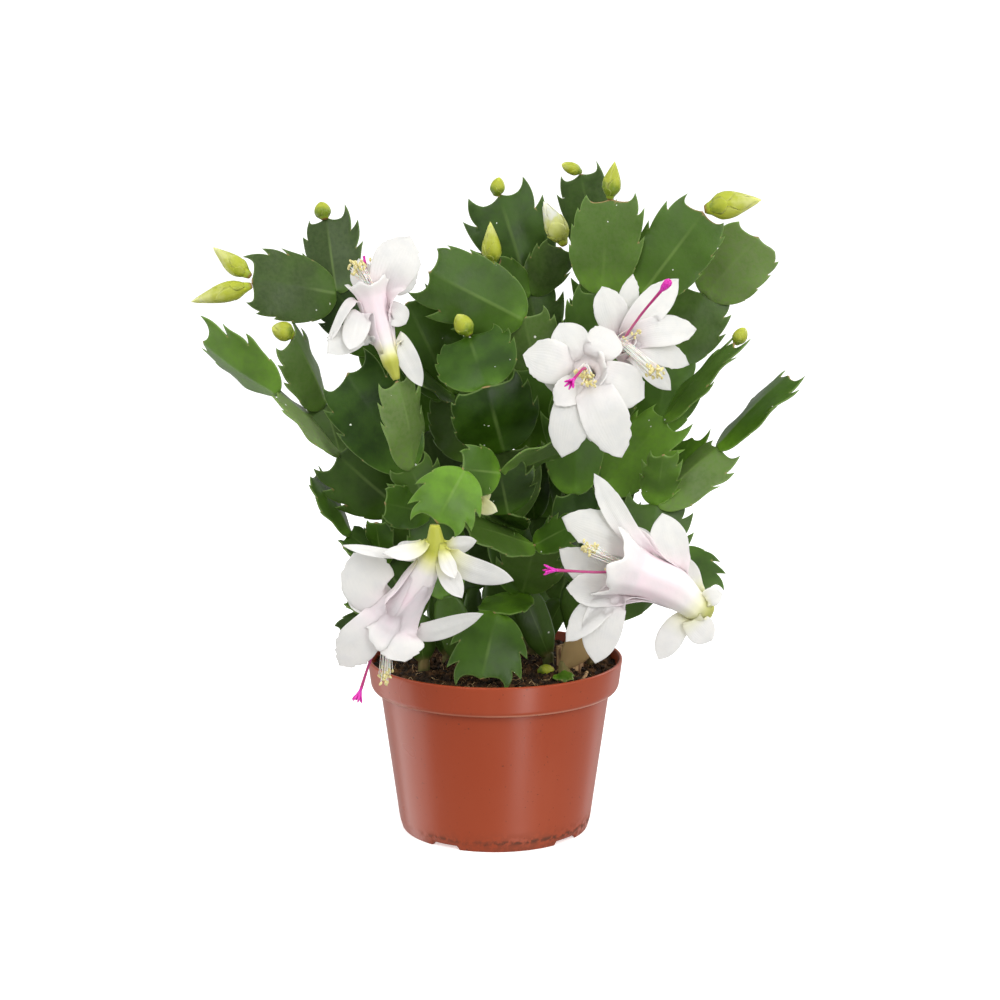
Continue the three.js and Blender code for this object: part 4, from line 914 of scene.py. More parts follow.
def flat_mesh(outline):
    """Points and triangles that fill an outline, close together near its margin and its midrib."""
    lead = np.roll(outline, -1, axis=0) - np.roll(outline, 1, axis=0)
    inward = np.column_stack([-lead[:, 1], lead[:, 0]]) / np.linalg.norm(lead, axis=1)[:, None]
    layers = [outline]
    for inset in INSETS:
        row = (outline + inward * inset)[:: 1 if inset < INSETS[-1] else 2]
        layers.append(row[to_margin(row, outline) > 0.86 * inset])
    low, high = outline.min(axis=0), outline.max(axis=0)
    ribs = np.array([(x, y) for x in RIB_ROWS for y in np.arange(low[1], high[1], RIB_STEP)])
    columns = np.arange(low[0], high[0], LATTICE)
    rows = np.arange(low[1], high[1], LATTICE * 0.87)
    spots = [(x + LATTICE / 2 * (k % 2), y) for k, y in enumerate(rows) for x in columns]
    spots = np.array([spot for spot in spots if abs(spot[0]) > 2])
    layers.append(ribs[to_margin(ribs, outline) > 1.3])
    layers.append(spots[to_margin(spots, outline) > 1.7])
    ring = [(i, (i + 1) % len(outline)) for i in range(len(outline))]
    made = delaunay_2d_cdt([Vector(point) for point in np.vstack(layers)], ring, [], 1, 1e-5)
    return np.array(made[0]), [list(face) for face in made[2]]


def add_joint(piece, joint, look, draw):
    """One flat fleshy joint, a little bowed, folded and wavy, and cushioned between its margins."""
    # The grey share and the tone are partly the joint's own colour, partly painted sheen and painted light
    grey, tone_and_light, scar = look
    base, tip = joint["base"], joint["tip"]
    along, face, across = blade_directions(base, tip, joint["turn"])
    length = np.linalg.norm(tip - base)
    half = joint["width"] / 2
    left, left_marks = margin(joint["halves"][0], draw)
    right, right_marks = margin(joint["halves"][1], draw)
    outline = np.vstack([right, left[::-1] * (1, -1)])[:, ::-1] * (half, length)
    areoles = np.vstack([right_marks, left_marks * (1, -1)])[:, ::-1] * (half, length)
    flat_points, faces = flat_mesh(outline)
    inside = np.clip(to_margin(flat_points, outline), 0, None)
    s, t = flat_points[:, 0] / half, flat_points[:, 1] / length
    t = t * (1 + SKEW * s * t)
    out = np.clip(np.abs(s) / np.interp(t, *np.transpose(ENVELOPE)), 0, 1)
    thin = np.sin(math.pi * np.clip(t, 0.08, 0.92)) * (1 - out**2)
    thin = THICKNESS["margin"] + THICKNESS["cushion"] * thin
    thin += THICKNESS["midrib"] * np.exp(-((s * half / THICKNESS["midrib_width"]) ** 2)) * (1 - 0.6 * t)
    thin += THICKNESS["neck"] * np.exp(-((t / 0.09) ** 2)) * (1 - out**2)
    rounding = np.clip(1 - inside / MARGIN_ROUND, 0, 1)
    thin = MARGIN_EDGE + (thin - MARGIN_EDGE) * np.sqrt(1 - rounding**2)
    curl = draw.uniform(-0.5, 0.7)
    wave = draw.uniform(0.5, 1.1)
    phase = draw.uniform(0, 1)
    rise = joint["bow"] * 4 * t * (1 - t) - joint["fold"] * soft_abs(s) * half - curl * s**2
    rise += wave * np.sin(2 * math.pi * (0.8 * t + phase)) * s * np.abs(s)
    rise += 0.7 * np.sin(2 * math.pi * (2.2 * t + phase)) * s**4
    middle = base + np.outer(t * length, along) + np.outer(s * half, across) + np.outer(rise, face)
    gap = np.linalg.norm(flat_points[:, None] - areoles, axis=-1).min(axis=1)
    edge = np.clip(1 - inside / 1.4, 0, 1)
    cork = AREOLE["cork"] * np.exp(-((gap / AREOLE["radius"]) ** 2))
    cork += scar * edge**2 * (t > 0.93) * (np.abs(s) < 0.55)
    depth = np.outer(thin, face)
    add_sheet(piece, middle + depth, middle - depth, faces, (s, t, tone_and_light), (grey, cork, edge))


def add_woody(piece, joint, draw):
    """The lowest joint: a thick stem of oval section, corky at its foot."""
    along, face, across = blade_directions(joint["base"], joint["tip"], joint["turn"])
    length = np.linalg.norm(joint["tip"] - joint["base"])
    shares = np.linspace(0, 1, 22)
    width = np.interp(shares, *np.transpose(OLD_MARGIN)) * joint["width"] / 2
    thick = THICKNESS["woody"] * (0.75 + 0.35 * np.sin(math.pi * shares))
    angles = circle(24)
    ridge = 1 + 0.05 * np.cos(angles * 5 + draw.uniform(0, 6)) + 0.03 * np.cos(angles * 9)
    spine = joint["base"] + np.outer(shares * length, along)
    rings = rings_round(spine, across, face, angles, width[:, None] * ridge, thick[:, None] * ridge)
    cork = joint["old"] + 0.62 * np.clip(1 - shares[:, None] * 3, 0, 1)
    add_loft(piece, rings, (np.cos(angles), 0.6, 0.4), (0.2, cork, 0))


def add_root(piece, x, y):
    """The round foot of the stem, in its hole in the peat."""
    heights = np.linspace(ROOT["bottom"], ROOT["top"], 14)
    radii = np.interp(heights, [ROOT["bottom"], ROOT["top"] - ROOT["taper"], ROOT["top"]], ROOT["radii"])
    angles = circle(20)
    spine = np.array([(x, y, height) for height in heights])
    reach = radii[:, None] * (1 + 0.05 * np.sin(angles * 6 + 1))
    add_loft(piece, rings_round(spine, ACROSS, AWAY, angles, reach), (0.5, 0.5, 0.2), (0.3, 0.5, 0))


FLESH = {"Subsurface_Weight": 0.08, "Subsurface_Scale": 0.002, "Subsurface_Radius": (0.4, 1.0, 0.15)}
STEM = colours(
    dark=(26, 50, 3), middle=(60, 94, 16), bright=(98, 142, 32), grey=(112, 130, 78), pale=(134, 160, 88),
    cork=(150, 126, 84), droplet=(226, 232, 216),
)
stem_finish = Finish("waxy_stem", Roughness=0.4, Specular_IOR_Level=0.2, **FLESH)
aside, up, tone_and_light = stem_finish.attribute("place")
grey, cork, to_edge = stem_finish.attribute("finish")
patch = stem_finish.speckle(90, 3)
mottle = stem_finish.speckle(520, 3)
pores = stem_finish.speckle(3200, 1)
bark = stem_finish.speckle(700, 3, (1, 1, 0.4))
# The tone is partly the joint's own green and partly painted light and shade
lit = tone_and_light + patch.step(0.3, 0.7, -0.1, 0.1) + up.step(0, 0.4, 0.4, 0)
green = lit.step(0, 0.55).mix(STEM["dark"], STEM["middle"])
green = lit.step(0.5, 1.05).mix(green, STEM["bright"])
# Grey-green: partly waxy bloom, partly a painted sheen of glancing reflections
green = (grey * mottle.step(0.3, 0.7, 0.55, 1)).mix(green, STEM["grey"])
rib_line = abs(aside).step(0.01, 0.07, 0.3, 0) * stem_finish.speckle(24, 1).step(0.4, 0.55)
green = (rib_line * up.step(0.45, 1, 1, 0.1)).mix(green, STEM["pale"])
green = to_edge.step(0.55, 1, 0, 0.4).mix(green, STEM["pale"])
green = mottle.step(0.35, 0.75, 0, 0.12).mix(green, STEM["dark"])
green = stem_finish.speckle(520, 0).step(0.872, 0.878).mix(green, STEM["droplet"])
corky = (cork + patch.step(0.3, 0.7, -0.12, 0.12)).step(0.3, 0.75)
green = corky.mix(green, STEM["cork"])
stem_finish.join(Base_Color=green, Roughness=patch.step(0.3, 0.7, 0.33, 0.46) + corky * 0.35)
stem_finish.bumps((patch, 0.0012, 0.25), (mottle, 0.0002, 0.3), (pores, 0.00006, 0.25), (bark, 0.0003, 0.1))

made_joints = {}
for number, (shoot_name, ((x, y), *joints)) in enumerate(SHOOTS.items()):
    draw = np.random.default_rng(40 + number)
    shoot_piece = new_piece()
    add_root(shoot_piece, x, y)
    ends = {"root": (np.array([x, y, ROOT["above"]]), np.array([0, 0, ROOT["into"]]))}
    for joint_name, parent, tip, width, turn, bow, fold in joints:
        parent_tip, into = ends[parent]
        base = parent_tip + into
        tip = np.array(tip, float)
        joint = {"base": base, "tip": tip, "width": width, "turn": turn, "bow": bow, "fold": fold}
        kinds = PLAIN_HALVES if joint_name in PLAIN_JOINTS else TOOTHED_HALVES
        joint["halves"] = JOINT_HALVES.get(joint_name, kinds[draw.integers(len(kinds))])
        joint["old"] = OLD_FEET.get(joint_name, 0)
        look = JOINT_TONES_AND_PAINTED_LIGHT.get(joint_name, (draw.uniform(0, 0.3), draw.uniform(0.1, 0.5)))
        if parent == "root":
            add_woody(shoot_piece, joint, draw)
        else:
            add_joint(shoot_piece, joint, (*look, SCARS.get(joint_name, PLAIN_SCAR)), draw)
        ends[joint_name] = (tip, unit(base - tip) * SINK)
        made_joints[joint_name] = joint
    finished(shoot_piece, f"stems_{shoot_name}", stem_finish, "stem", f"shoot_{shoot_name}")

# Litter on the peat: a corky stub of an old stem, which still stands in the ground, and a twig and a bit
# of leaf, each pressed into the peat where it fell.
STUB = {"place": (35, -12), "radius": 6.3, "bottom": 71, "top": 89.3, "ribs": 8, "sides": 64}
# The stub's profile: share of its radius, share of its height
STUB_ROWS = [
    (0.97, 0), (0.98, 0.55), (1.0, 0.8), (1.02, 0.95), (1.0, 0.985), (0.9, 1.0), (0.6, 0.975), (0.2, 0.965),
]
TWIG = {"radius": 0.78, "rings": 26, "sides": 12}
TWIG_ROUTE = [(42.5, -21, 79.2), (41.5, -28, 79.3), (39, -35, 78.2)]
LEAF_BIT = {
    "base": np.array((26.5, -32, 79.6)), "tip": np.array((36, -34.5, 79.8)), "halves": ("plain", "fine"),
    "width": 7, "bow": 0.6, "turn": -62, "fold": 0, "look": (0.05, 0.6, 0.2), "seed": 3,
}
BARK = colours(brown=(112, 80, 54), pale=(200, 164, 118), dark=(70, 52, 34))


def smooth_route(points, count):
    """A round curve through points, as the solids have it, cut into even steps."""
    rows = np.array(points, float)
    rows = np.vstack([2 * rows[0] - rows[1], rows, 2 * rows[-1] - rows[-2]])
    dense = []
    for before, start, end, after in zip(rows[:-3], rows[1:-2], rows[2:-1], rows[3:]):
        gaps = [np.linalg.norm(v) ** 0.5 for v in (start - before, end - start, after - end)]
        leave = (start - before) / gaps[0] - (end - before) / (gaps[0] + gaps[1]) + (end - start) / gaps[1]
        reach = (end - start) / gaps[1] - (after - start) / (gaps[1] + gaps[2]) + (after - end) / gaps[2]
        w = np.linspace(0, 1, 80, endpoint=False)[:, None]
        square, cube = w**2, w**3
        curve = start * (2 * cube - 3 * square + 1) + end * (3 * square - 2 * cube)
        dense.append(curve + leave * gaps[1] * (cube - 2 * square + w) + reach * gaps[1] * (cube - square))
    dense = np.vstack([*dense, rows[-2]])
    walked = np.concatenate([[0], np.cumsum(np.linalg.norm(np.diff(dense, axis=0), axis=1))])
    even = np.linspace(0, walked[-1], count)
    return np.stack([np.interp(even, walked, dense[:, k]) for k in range(3)], axis=-1)


def carried_frames(path):
    """Directions along a path and two across it that don't twist."""
    along = np.gradient(path, axis=0)
    along = along / np.linalg.norm(along, axis=1)[:, None]
    across = [unit(np.cross(along[0], (0, 0, 1) if abs(along[0][2]) < 0.9 else (1, 0, 0)))]
    for direction in along[1:]:
        across.append(unit(across[-1] - direction * np.dot(across[-1], direction)))
    across = np.array(across)
    return along, across, np.cross(across, along)


def round_rings(path, radii, sides):
    """Round rings along a path."""
    _, across, over = carried_frames(path)
    return rings_round(path, across, over, circle(sides), np.asarray(radii)[:, None])


cork_finish = Finish("cork_bark", Roughness=0.85, Specular_IOR_Level=0.3)
ridges = cork_finish.speckle(900, 4, (1, 1, 0.12))
lumps = cork_finish.speckle(260, 3)
bark_tint = ridges.step(0.35, 0.65).mix(BARK["brown"], BARK["pale"])
cork_finish.join(Base_Color=lumps.step(0.5, 0.75, 0, 0.45).mix(bark_tint, BARK["dark"]))
cork_finish.bumps((ridges, 0.0006, 0.8), (lumps, 0.0008, 0.5))

stub_shares = np.array(STUB_ROWS)
heights = STUB["bottom"] + (STUB["top"] - STUB["bottom"]) * stub_shares[:, 1]
stub_path = np.array([(*STUB["place"], height) for height in heights])
angles = circle(STUB["sides"])
ribbed = 1 + 0.045 * np.cos(angles * STUB["ribs"]) + 0.015 * np.cos(angles * 23 + 1)
stub_piece = new_piece()
reach = STUB["radius"] * stub_shares[:, :1] * ribbed
add_loft(stub_piece, rings_round(stub_path, ACROSS, AWAY, angles, reach))
finished(stub_piece, "stub", cork_finish, "cork", "old_stub")

twig_rows = np.arange(TWIG["rings"])
twig_radii = TWIG["radius"] * (1 + 0.1 * np.sin(twig_rows * 1.7))
twig_radii *= np.interp(twig_rows, [0, 1, twig_rows[-2], twig_rows[-1]], [0.5, 1, 0.9, 0.4])
twig_piece = new_piece()
add_loft(twig_piece, round_rings(smooth_route(TWIG_ROUTE, TWIG["rings"]), twig_radii, TWIG["sides"]))
finished(twig_piece, "fallen_twig", cork_finish, "cork", "twig")

bit_piece = new_piece()
add_joint(bit_piece, LEAF_BIT, LEAF_BIT["look"], np.random.default_rng(LEAF_BIT["seed"]))
finished(bit_piece, "fallen_leaf", stem_finish, "stem", "leaf_bit")

# Buds: each stands on a squat ovary and is wrapped in pointed scales that overlap, yellow-green below
# and paler towards the tip. One is opening, and one has fallen onto the peat.
# Each row: the joint that bears it, its radius, its form, and how pale it is, how green its ovary is, and
# how far its scales stand open.
BUDS = {
    "left_edge": ("l7", 4.4, "egg", (0.35, 0.2, 0.05)),
    "left_upper": ("t6", 4.4, "pointed", (1.0, 0.1, 0.1)),
    "left_lower": ("t6", 4.6, "pointed", (1.05, 0.1, 0.12)),
    "left_tall": ("t7", 3.8, "egg", (-0.2, 0.7, 0.0)),
    "centre": ("c5", 4.2, "egg", (0.1, 0.3, 0.05)),
    "pointed": ("u8", 4.4, "pointed", (0.55, 0.3, 0.1)),
    "top": ("u6", 3.4, "egg", (-0.2, 0.7, 0.0)),
    "opening": ("u7", 5.2, "pointed", (1.9, 0.4, 0.4)),
    "top_right": ("r9", 2.8, "egg", (0.1, 0.8, 0.1)),
    "tall": ("r6", 4.2, "pointed", (-0.05, 0.7, 0.05)),
    "large": ("r12", 6.2, "pointed", (0.9, 0.4, 0.1)),
    "right_edge": ("s4", 3.2, "egg", (0.1, 0.8, 0.1)),
    "back_left": ("b4", 4, "egg", (0.3, 0.5, 0.1)),
    "back": ("m4", 4.2, "pointed", (0.3, 0.5, 0.1)),
    "back_right": ("q6", 4.2, "pointed", (0.3, 0.5, 0.1)),
}
FALLEN_BUD = {"radius": 2.9, "look": (0.0, 0.9, 0.05), "seed": 99}
# Each row: share along the bud, share of its radius
BUD_FORMS = {
    "egg": [
        (0.0, 0.3), (0.03, 0.42), (0.08, 0.52), (0.13, 0.6), (0.2, 0.76), (0.3, 0.93), (0.42, 1.0),
        (0.56, 0.97), (0.7, 0.85), (0.83, 0.63), (0.93, 0.36), (1.0, 0.02),
    ],
    "pointed": [
        (0.0, 0.26), (0.03, 0.36), (0.07, 0.44), (0.12, 0.53), (0.19, 0.74), (0.28, 0.94), (0.37, 1.0),
        (0.48, 0.95), (0.62, 0.77), (0.76, 0.52), (0.9, 0.24), (1.0, 0.01),
    ],
}
# How far a foot reaches down into the areole that it grew from, in mm
BUD_SEAT = 0.9
# Rings of scales: how many, where they start and end along the bud, and half their width in degrees
SCALE_RINGS = [(3, 0.11, 0.34, 46), (3, 0.15, 0.62, 62), (4, 0.2, 0.96, 62)]
SCALE_BREADTHS = [(0, 0.75), (0.35, 1), (0.6, 0.92), (0.82, 0.6), (0.95, 0.22), (1, 0.04)]
SCALE = {"rows": 16, "points": 9, "thick": 0.05}
SCALE_FLESH = {"Subsurface_Weight": 0.25, "Subsurface_Scale": 0.003, "Subsurface_Radius": (1.0, 0.9, 0.25)}
BUD = colours(
    green=(122, 144, 34), yellow=(182, 190, 54), pale=(214, 217, 122),
    white=(236, 236, 214), foot=(132, 96, 52),
)

bud_finish = Finish("bud_scales", Roughness=0.4, Specular_IOR_Level=0.25, **SCALE_FLESH)
aside, up, pale = bud_finish.attribute("place")
ovary, foot, _ = bud_finish.attribute("finish")
cloud = bud_finish.speckle(300, 3)
ribs = bud_finish.speckle(1400, 2, (1, 1, 0.5))
toned = up + pale * 0.4 + cloud.step(0.3, 0.7, -0.12, 0.12)
skin = toned.step(0.2, 0.62).mix(BUD["green"], BUD["yellow"])
skin = toned.step(0.75, 1.25).mix(skin, BUD["pale"])
skin = toned.step(1.25, 1.6).mix(skin, BUD["white"])
skin = (ovary * 0.8).mix(skin, BUD["green"])
skin = abs(aside).step(0.6, 1.0, 0, 0.35).mix(skin, BUD["pale"])
bud_finish.join(Base_Color=foot.mix(skin, BUD["foot"]), Roughness=cloud.step(0.3, 0.7, 0.34, 0.48))
bud_finish.bumps((cloud, 0.0005, 0.3), (ribs, 0.0001, 0.35))


def form_at(shares, form):
    """A smooth profile through rows of (share along, share of radius)."""
    rows = smooth_route(np.column_stack([form, np.zeros(len(form))]), 240)
    return np.interp(shares, rows[:, 0], rows[:, 1])


def sheet_across(count):
    """Across a closed thin sheet and back: the share aside, and which side each point is on."""
    v = np.linspace(-1, 1, count)
    return np.concatenate([v, v[1:-1][::-1]]), np.concatenate([np.ones(count), -np.ones(count - 2)])


def add_bud(piece, base, tip, radius, kind, look, draw):
    """A bud: its body from the ovary to the tip, and rings of pointed scales that hug it."""
    pale, ovary, opened = look
    form = BUD_FORMS[kind]
    length = np.linalg.norm(tip - base)
    along = unit(tip - base)
    across = unit(np.cross(along, (0.31, 0.2, 0.93)))
    over = np.cross(along, across)
    bend = across * draw.normal(0, 0.02) * length + over * draw.normal(0, 0.02) * length

    def centre_line(shares):
        return base + np.outer(shares * length, along) + np.outer(np.sin(math.pi * shares), bend)

    shares = np.concatenate([np.linspace(0, 0.2, 12), np.linspace(0.23, 1, 24)])
    angles = circle(28)
    reach = (form_at(shares, form) * radius)[:, None] * (1 + 0.02 * np.cos(angles * 5))
    up = shares[:, None]
    green = np.clip((0.2 - up) / 0.05, 0, 1) * ovary
    brown = np.clip((0.06 - up) / 0.06, 0, 1)
    body = rings_round(centre_line(shares), across, over, angles, reach)
    add_loft(piece, body, (0, up, pale), (green, brown, 0))
    twist = draw.uniform(0, 360)
    t = np.linspace(0, 1, SCALE["rows"])
    v, side = sheet_across(SCALE["points"])
    thick = side * SCALE["thick"] * (1 - 0.5 * np.abs(v)) * (np.abs(v) < 1)
    for ring, (count, start, end, half_angle) in enumerate(SCALE_RINGS):
        outer = len(SCALE_RINGS) - 1 - ring
        for i in range(count):
            middle = twist + 360 * (i + 0.5 * (ring % 2)) / count + draw.normal(0, 5)
            low = start + draw.normal(0, 0.01)
            high = end + draw.normal(0, 0.025)
            shares = low + (high - low) * t
            girth = form_at(shares, form) * radius * (1 + 0.02 * outer)
            lift = opened * 0.9 * t**3 * radius * (1 + 0.02 * outer) / 4
            breadth = np.interp(t, *np.transpose(SCALE_BREADTHS))
            turn = np.radians(middle + half_angle * breadth[:, None] * v)
            reach = girth[:, None] * (1 - 0.02 * v**2) + lift[:, None] + thick
            scale = rings_round(centre_line(shares), across, over, turn, reach)
            green = ovary * (0.35 if ring == 0 else 0.1)
            add_loft(piece, scale, (v, shares[:, None], pale - 0.12 * outer), (green, 0, 0))


def farthest_points(node):
    """The two poles of a bud's solid, in mm."""
    spots = np.unique(np.round([v.co[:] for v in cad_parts[node].data.vertices], 6), axis=0)
    gaps = np.linalg.norm(spots[:, None] - spots[None], axis=-1)
    first, second = np.unravel_index(np.argmax(gaps), gaps.shape)
    return spots[first] / MM, spots[second] / MM


for number, (bud_name, (bearer, radius, kind, look)) in enumerate(BUDS.items()):
    bearer_tip = made_joints[bearer]["tip"]
    poles = farthest_points(f"bud_{bud_name}")
    base, tip = sorted(poles, key=lambda pole: np.linalg.norm(pole - bearer_tip))
    base = base + unit(base - tip) * BUD_SEAT
    bud_piece = new_piece()
    add_bud(bud_piece, base, tip, radius, kind, look, np.random.default_rng(70 + number))
    finished(bud_piece, f"budding_{bud_name}", bud_finish, "bud", f"bud_{bud_name}")

base, tip = sorted(farthest_points("fallen_bud"), key=lambda pole: pole[0])
bud_piece = new_piece()
draw = np.random.default_rng(FALLEN_BUD["seed"])
add_bud(bud_piece, base, tip, FALLEN_BUD["radius"], "egg", FALLEN_BUD["look"], draw)
finished(bud_piece, "dropped_bud", bud_finish, "bud", "fallen_bud")

# Blooms: a yellow-green ovary carries a tube of overlapping thin white petals, short ones bent back round
# its foot and broad ones flaring from its mouth. A magenta style and a bundle of white stamens with cream
# anthers hang out of the mouth.
# route: points from the ovary to the mouth. petals: (share along the tube, tip, width, bow, turn).
# style: points past the mouth. stamens: the middle of the anthers. lobes: of the stigma, if it has opened.
# The young bloom shows none of these three yet.
BLOOMS = {
    "left_upper": {
        "bearer": "g4",
        "radius": 7,
        "route": [(-46, -50, 228), (-50, -48, 240), (-54, -48, 256)],
        "petals": [
            (0.97, (-37, -44, 281), 19, 2, 10),
            (0.95, (-34, -43, 268), 14, 2, 20),
            (1, (-60, -38, 271), 11, 2, -30),
            (0.95, (-73, -54, 236), 8, -1, 50),
            (0.8, (-63, -61, 233), 11, -1, 10),
            (0.55, (-73, -57, 231), 12, 1, 15),
            (0.75, (-39, -48, 243), 10, 1, 0),
            (0.4, (-32, -52, 216), 9, 1, 0),
            (0.5, (-62, -34, 236), 9, 1, 0),
        ],
        "style": [(-56, -47, 264), (-57, -46, 271)],
        "stamens": (-59, -49, 267),
        "lobes": 0,
    },
    "right_upper": {
        "bearer": "r13",
        "radius": 6.5,
        "route": [(62, -20, 216), (60, -32, 224), (56, -43, 233)],
        "petals": [
            (1, (47, -41, 259), 16, 2, 0),
            (1, (61, -36, 264), 10, 1, 0),
            (1, (81, -38, 262), 15, 2, 10),
            (1, (89, -40, 240), 15, 2, 0),
            (1, (86, -39, 224), 13, 0, 0),
            (0.9, (78, -41, 213), 11, 0, 0),
            (0.6, (76, -26, 236), 9, 1, 0),
            (0.6, (46, -24, 238), 8, 1, 0),
        ],
        "style": [(62, -56, 246), (72, -66, 260)],
        "stamens": (70, -62, 224),
        "lobes": 0,
    },
    "right_lower": {
        "bearer": "r14",
        "radius": 8,
        "route": [(48, -24, 207), (44, -42, 216), (40, -58, 223)],
        "petals": [
            (1, (12, -62, 231), 15, 2, 0),
            (1, (28, -54, 244), 13, 2, 0),
            (1, (26, -70, 210), 10, 2, 0),
            (1, (29, -68, 187), 14, 2, 0),
            (1, (55, -68, 187), 16, 2, 0),
            (1, (65, -60, 212), 15, 2, 0),
            (1, (52, -51, 240), 13, 2, 0),
            (0.6, (20, -50, 220), 11, 1, 0),
            (0.6, (42, -54, 192), 10, 1, 0),
        ],
        "style": [(38, -70, 226), (33, -80, 222)],
        "stamens": (39, -68, 220),
        "lobes": 6,
    },
    "hanging": {
        "bearer": "f6",
        "radius": 8.5,
        "route": [(-26, -86, 150), (-34, -80, 133), (-44, -76, 117)],
        "petals": [
            (0.3, (-65, -87, 152), 7, -1, 55),
            (0.3, (-48, -94, 150), 8, 0, 40),
            (0.3, (-8, -82, 153), 8, 1, 30),
            (0.35, (-17, -94, 139), 6, 1, 0),
            (0.35, (8, -84, 136), 10, 1, 20),
            (0.4, (-14, -92, 130), 8, 1, 0),
            (0.35, (-44, -66, 146), 8, 1, 0),
            (0.85, (-61, -78, 147), 21, 2, 0),
            (0.95, (-64, -72, 130), 12, 2, 15),
            (1, (-68, -78, 97), 16, 2, 0),
            (0.95, (-5, -78, 120), 9, 1, 30),
            (1, (-39, -88, 101), 17, 2, 0),
            (1, (-50, -56, 110), 12, 2, 0),
        ],
        "style": [(-53, -77, 102), (-59, -79, 85)],
        "stamens": (-48, -79, 94),
        "lobes": 6,
    },
    "low_right": {
        "bearer": "k7",
        "radius": 9.6,
        "route": [(90, -66, 120), (77, -69, 130), (61, -70, 137)],
        "petals": [
            (0.3, (83, -60, 142), 8, 1, 0),
            (0.3, (95, -70, 106), 11, 1, 0),
            (0.3, (72, -68, 97), 10, 1, 10),
            (0.3, (99, -74, 128), 7, 1, 0),
            (0.6, (73, -65, 162), 14, 2, 0),
            (1, (43, -68, 180), 9, 1, 0),
            (1, (29, -70, 161), 15, 1, 0),
            (1, (28, -70, 147), 13, 0, 0),
            (1, (31, -71, 130), 13, 1, 0),
            (1, (31, -72, 106), 11, 1, 0),
            (1, (44, -71, 96), 15, 2, 0),
            (0.8, (58, -56, 154), 11, 1, 0),
        ],
        "style": [(44, -81, 139), (25, -86, 141)],
        "stamens": (41, -83, 148),
        "lobes": 5,
    },
    "young": {
        "bearer": "h3",
        "radius": 3.4,
        "route": [(-14, -54, 159), (-12, -58, 163), (-10, -60, 167)],
        "petals": [
            (0.9, (1, -67, 163), 7, 1, 0),
            (0.9, (-3, -65, 175), 7, 1, 0),
            (0.9, (-8, -66, 175), 6, 1, 0),
            (0.9, (-14, -62, 177), 6, 1, 0),
            (0.9, (-19, -62, 168), 5, 1, 0),
        ],
    },
}
# Each share along the tube, and its share of the tube's radius
TUBE_FORM = [
    (0.0, 0.18), (0.04, 0.24), (0.09, 0.29), (0.14, 0.36), (0.19, 0.44), (0.26, 0.46), (0.34, 0.48),
    (0.45, 0.56), (0.6, 0.66), (0.8, 0.68), (0.92, 0.72), (1.0, 0.78),
]
# Past the mouth the tube flares into a lobed cup: the inner petals, which have grown together. From its
# lip the wall turns back down into the throat
CUP = [
    (1.06, 0.83), (1.13, 0.93), (1.2, 1.05), (1.26, 1.15),
    (1.27, 1.13), (1.2, 0.99), (1.1, 0.84), (1.03, 0.77),
]
THROAT = [
    (0.995, 0.74), (0.985, 0.66), (0.97, 0.56), (0.955, 0.46),
    (0.93, 0.38), (0.88, 0.33), (0.8, 0.31), (0.73, 0.2),
]
TUBE = {"rings": 40, "end": 0.98, "sides": 60, "flare": 0.27}
# Each bloom's look: its seed, how cream, pink and yellow it is, how stout its tube and how broad its petals
# are, how far down its low petals sit, how far its cup stands out, how ragged the tips are of the petals
# that are named last, and the size of its stigma
LOOK_PARTS = ("seed", "cream", "pink", "yellow", "girth", "broad", "low", "cup", "bite", "stigma", "ragged")
BLOOM_LOOKS = {
    "left_upper": (200, 0, 0.6, 0.9, 1.2, 1.1, 0, 0.7, 0.13, 0.4, [0, 1, 2]),
    "right_upper": (201, 0, 0.7, 0.4, 1.0, 0.95, 0, 0.6, 0.07, 1.25, [0, 1, 2, 3, 4]),
    "right_lower": (202, 0, 0.25, 0.7, 1.05, 1.3, 0, 0.4, 0.1, 1, [0, 2, 3, 4, 5, 6]),
    "hanging": (203, 0, 0.6, 1.0, 1.28, 1.15, 0.16, 0.8, 0.13, 1, [7, 8, 9, 11]),
    "low_right": (204, 0, 0.6, 0.6, 1.45, 1.2, 0.05, 0.9, 0.07, 1, [5, 6, 7, 8, 9]),
    "young": (230, 0.9, 0, 0.9, 1.2, 1.0, 0, 0.5, 0.05, 0, []),
}
PETAL_FORM = {"rows": 34, "rooted": 8, "across": 15, "seat": 0.34, "thick": 0.5, "thin": 0.3}
# Half a petal's width, from where it leaves the tube to its tip
PETAL_OUTLINE = [
    (0.0, 0.74), (0.15, 0.8), (0.3, 0.9), (0.44, 0.98), (0.53, 1.0), (0.64, 0.95), (0.75, 0.8),
    (0.84, 0.6), (0.91, 0.37), (0.96, 0.17), (1.0, 0.01),
]
STYLE_RADII = ([0, 0.15, 0.8, 0.97, 1], [0.8, 0.62, 0.58, 0.75, 0.5])
LOBE_RADII = ([0, 0.3, 0.75, 0.95, 1], [0.4, 0.62, 0.55, 0.32, 0.1])
STYLE = {"rings": 46, "sides": 14, "lobe_rings": 14, "lobe_sides": 10, "closed_lobes": 6}
# The filaments' radius and the anthers' measures are in metres, the rest in mm
STAMENS = {"count": 40, "radius": 0.00018, "sides": 5, "spread": 4.2, "inner": 1.5}
ANTHERS = {"Length": 0.0021, "Width": 0.0012, "Seed": 5}
# How far along the tube the style and the stamens rise from
PIT = 0.725
PETAL = colours(
    white=(232, 229, 223), shade=(225, 223, 219), pink=(238, 206, 220),
    yellow=(222, 220, 92), green=(156, 160, 50),
)
FILAMENT = colours(white=(246, 243, 234), cream=(240, 232, 226))
POLLEN = colours(cream=(214, 200, 126), pale=(234, 226, 176))
MAGENTA = colours(pale=(206, 120, 158), deep=(172, 26, 108), stigma=(196, 6, 150), hairs=(226, 40, 184))
THIN = {"Subsurface_Weight": 0.45, "Subsurface_Scale": 0.004, "Subsurface_Radius": (1.0, 0.95, 0.9)}

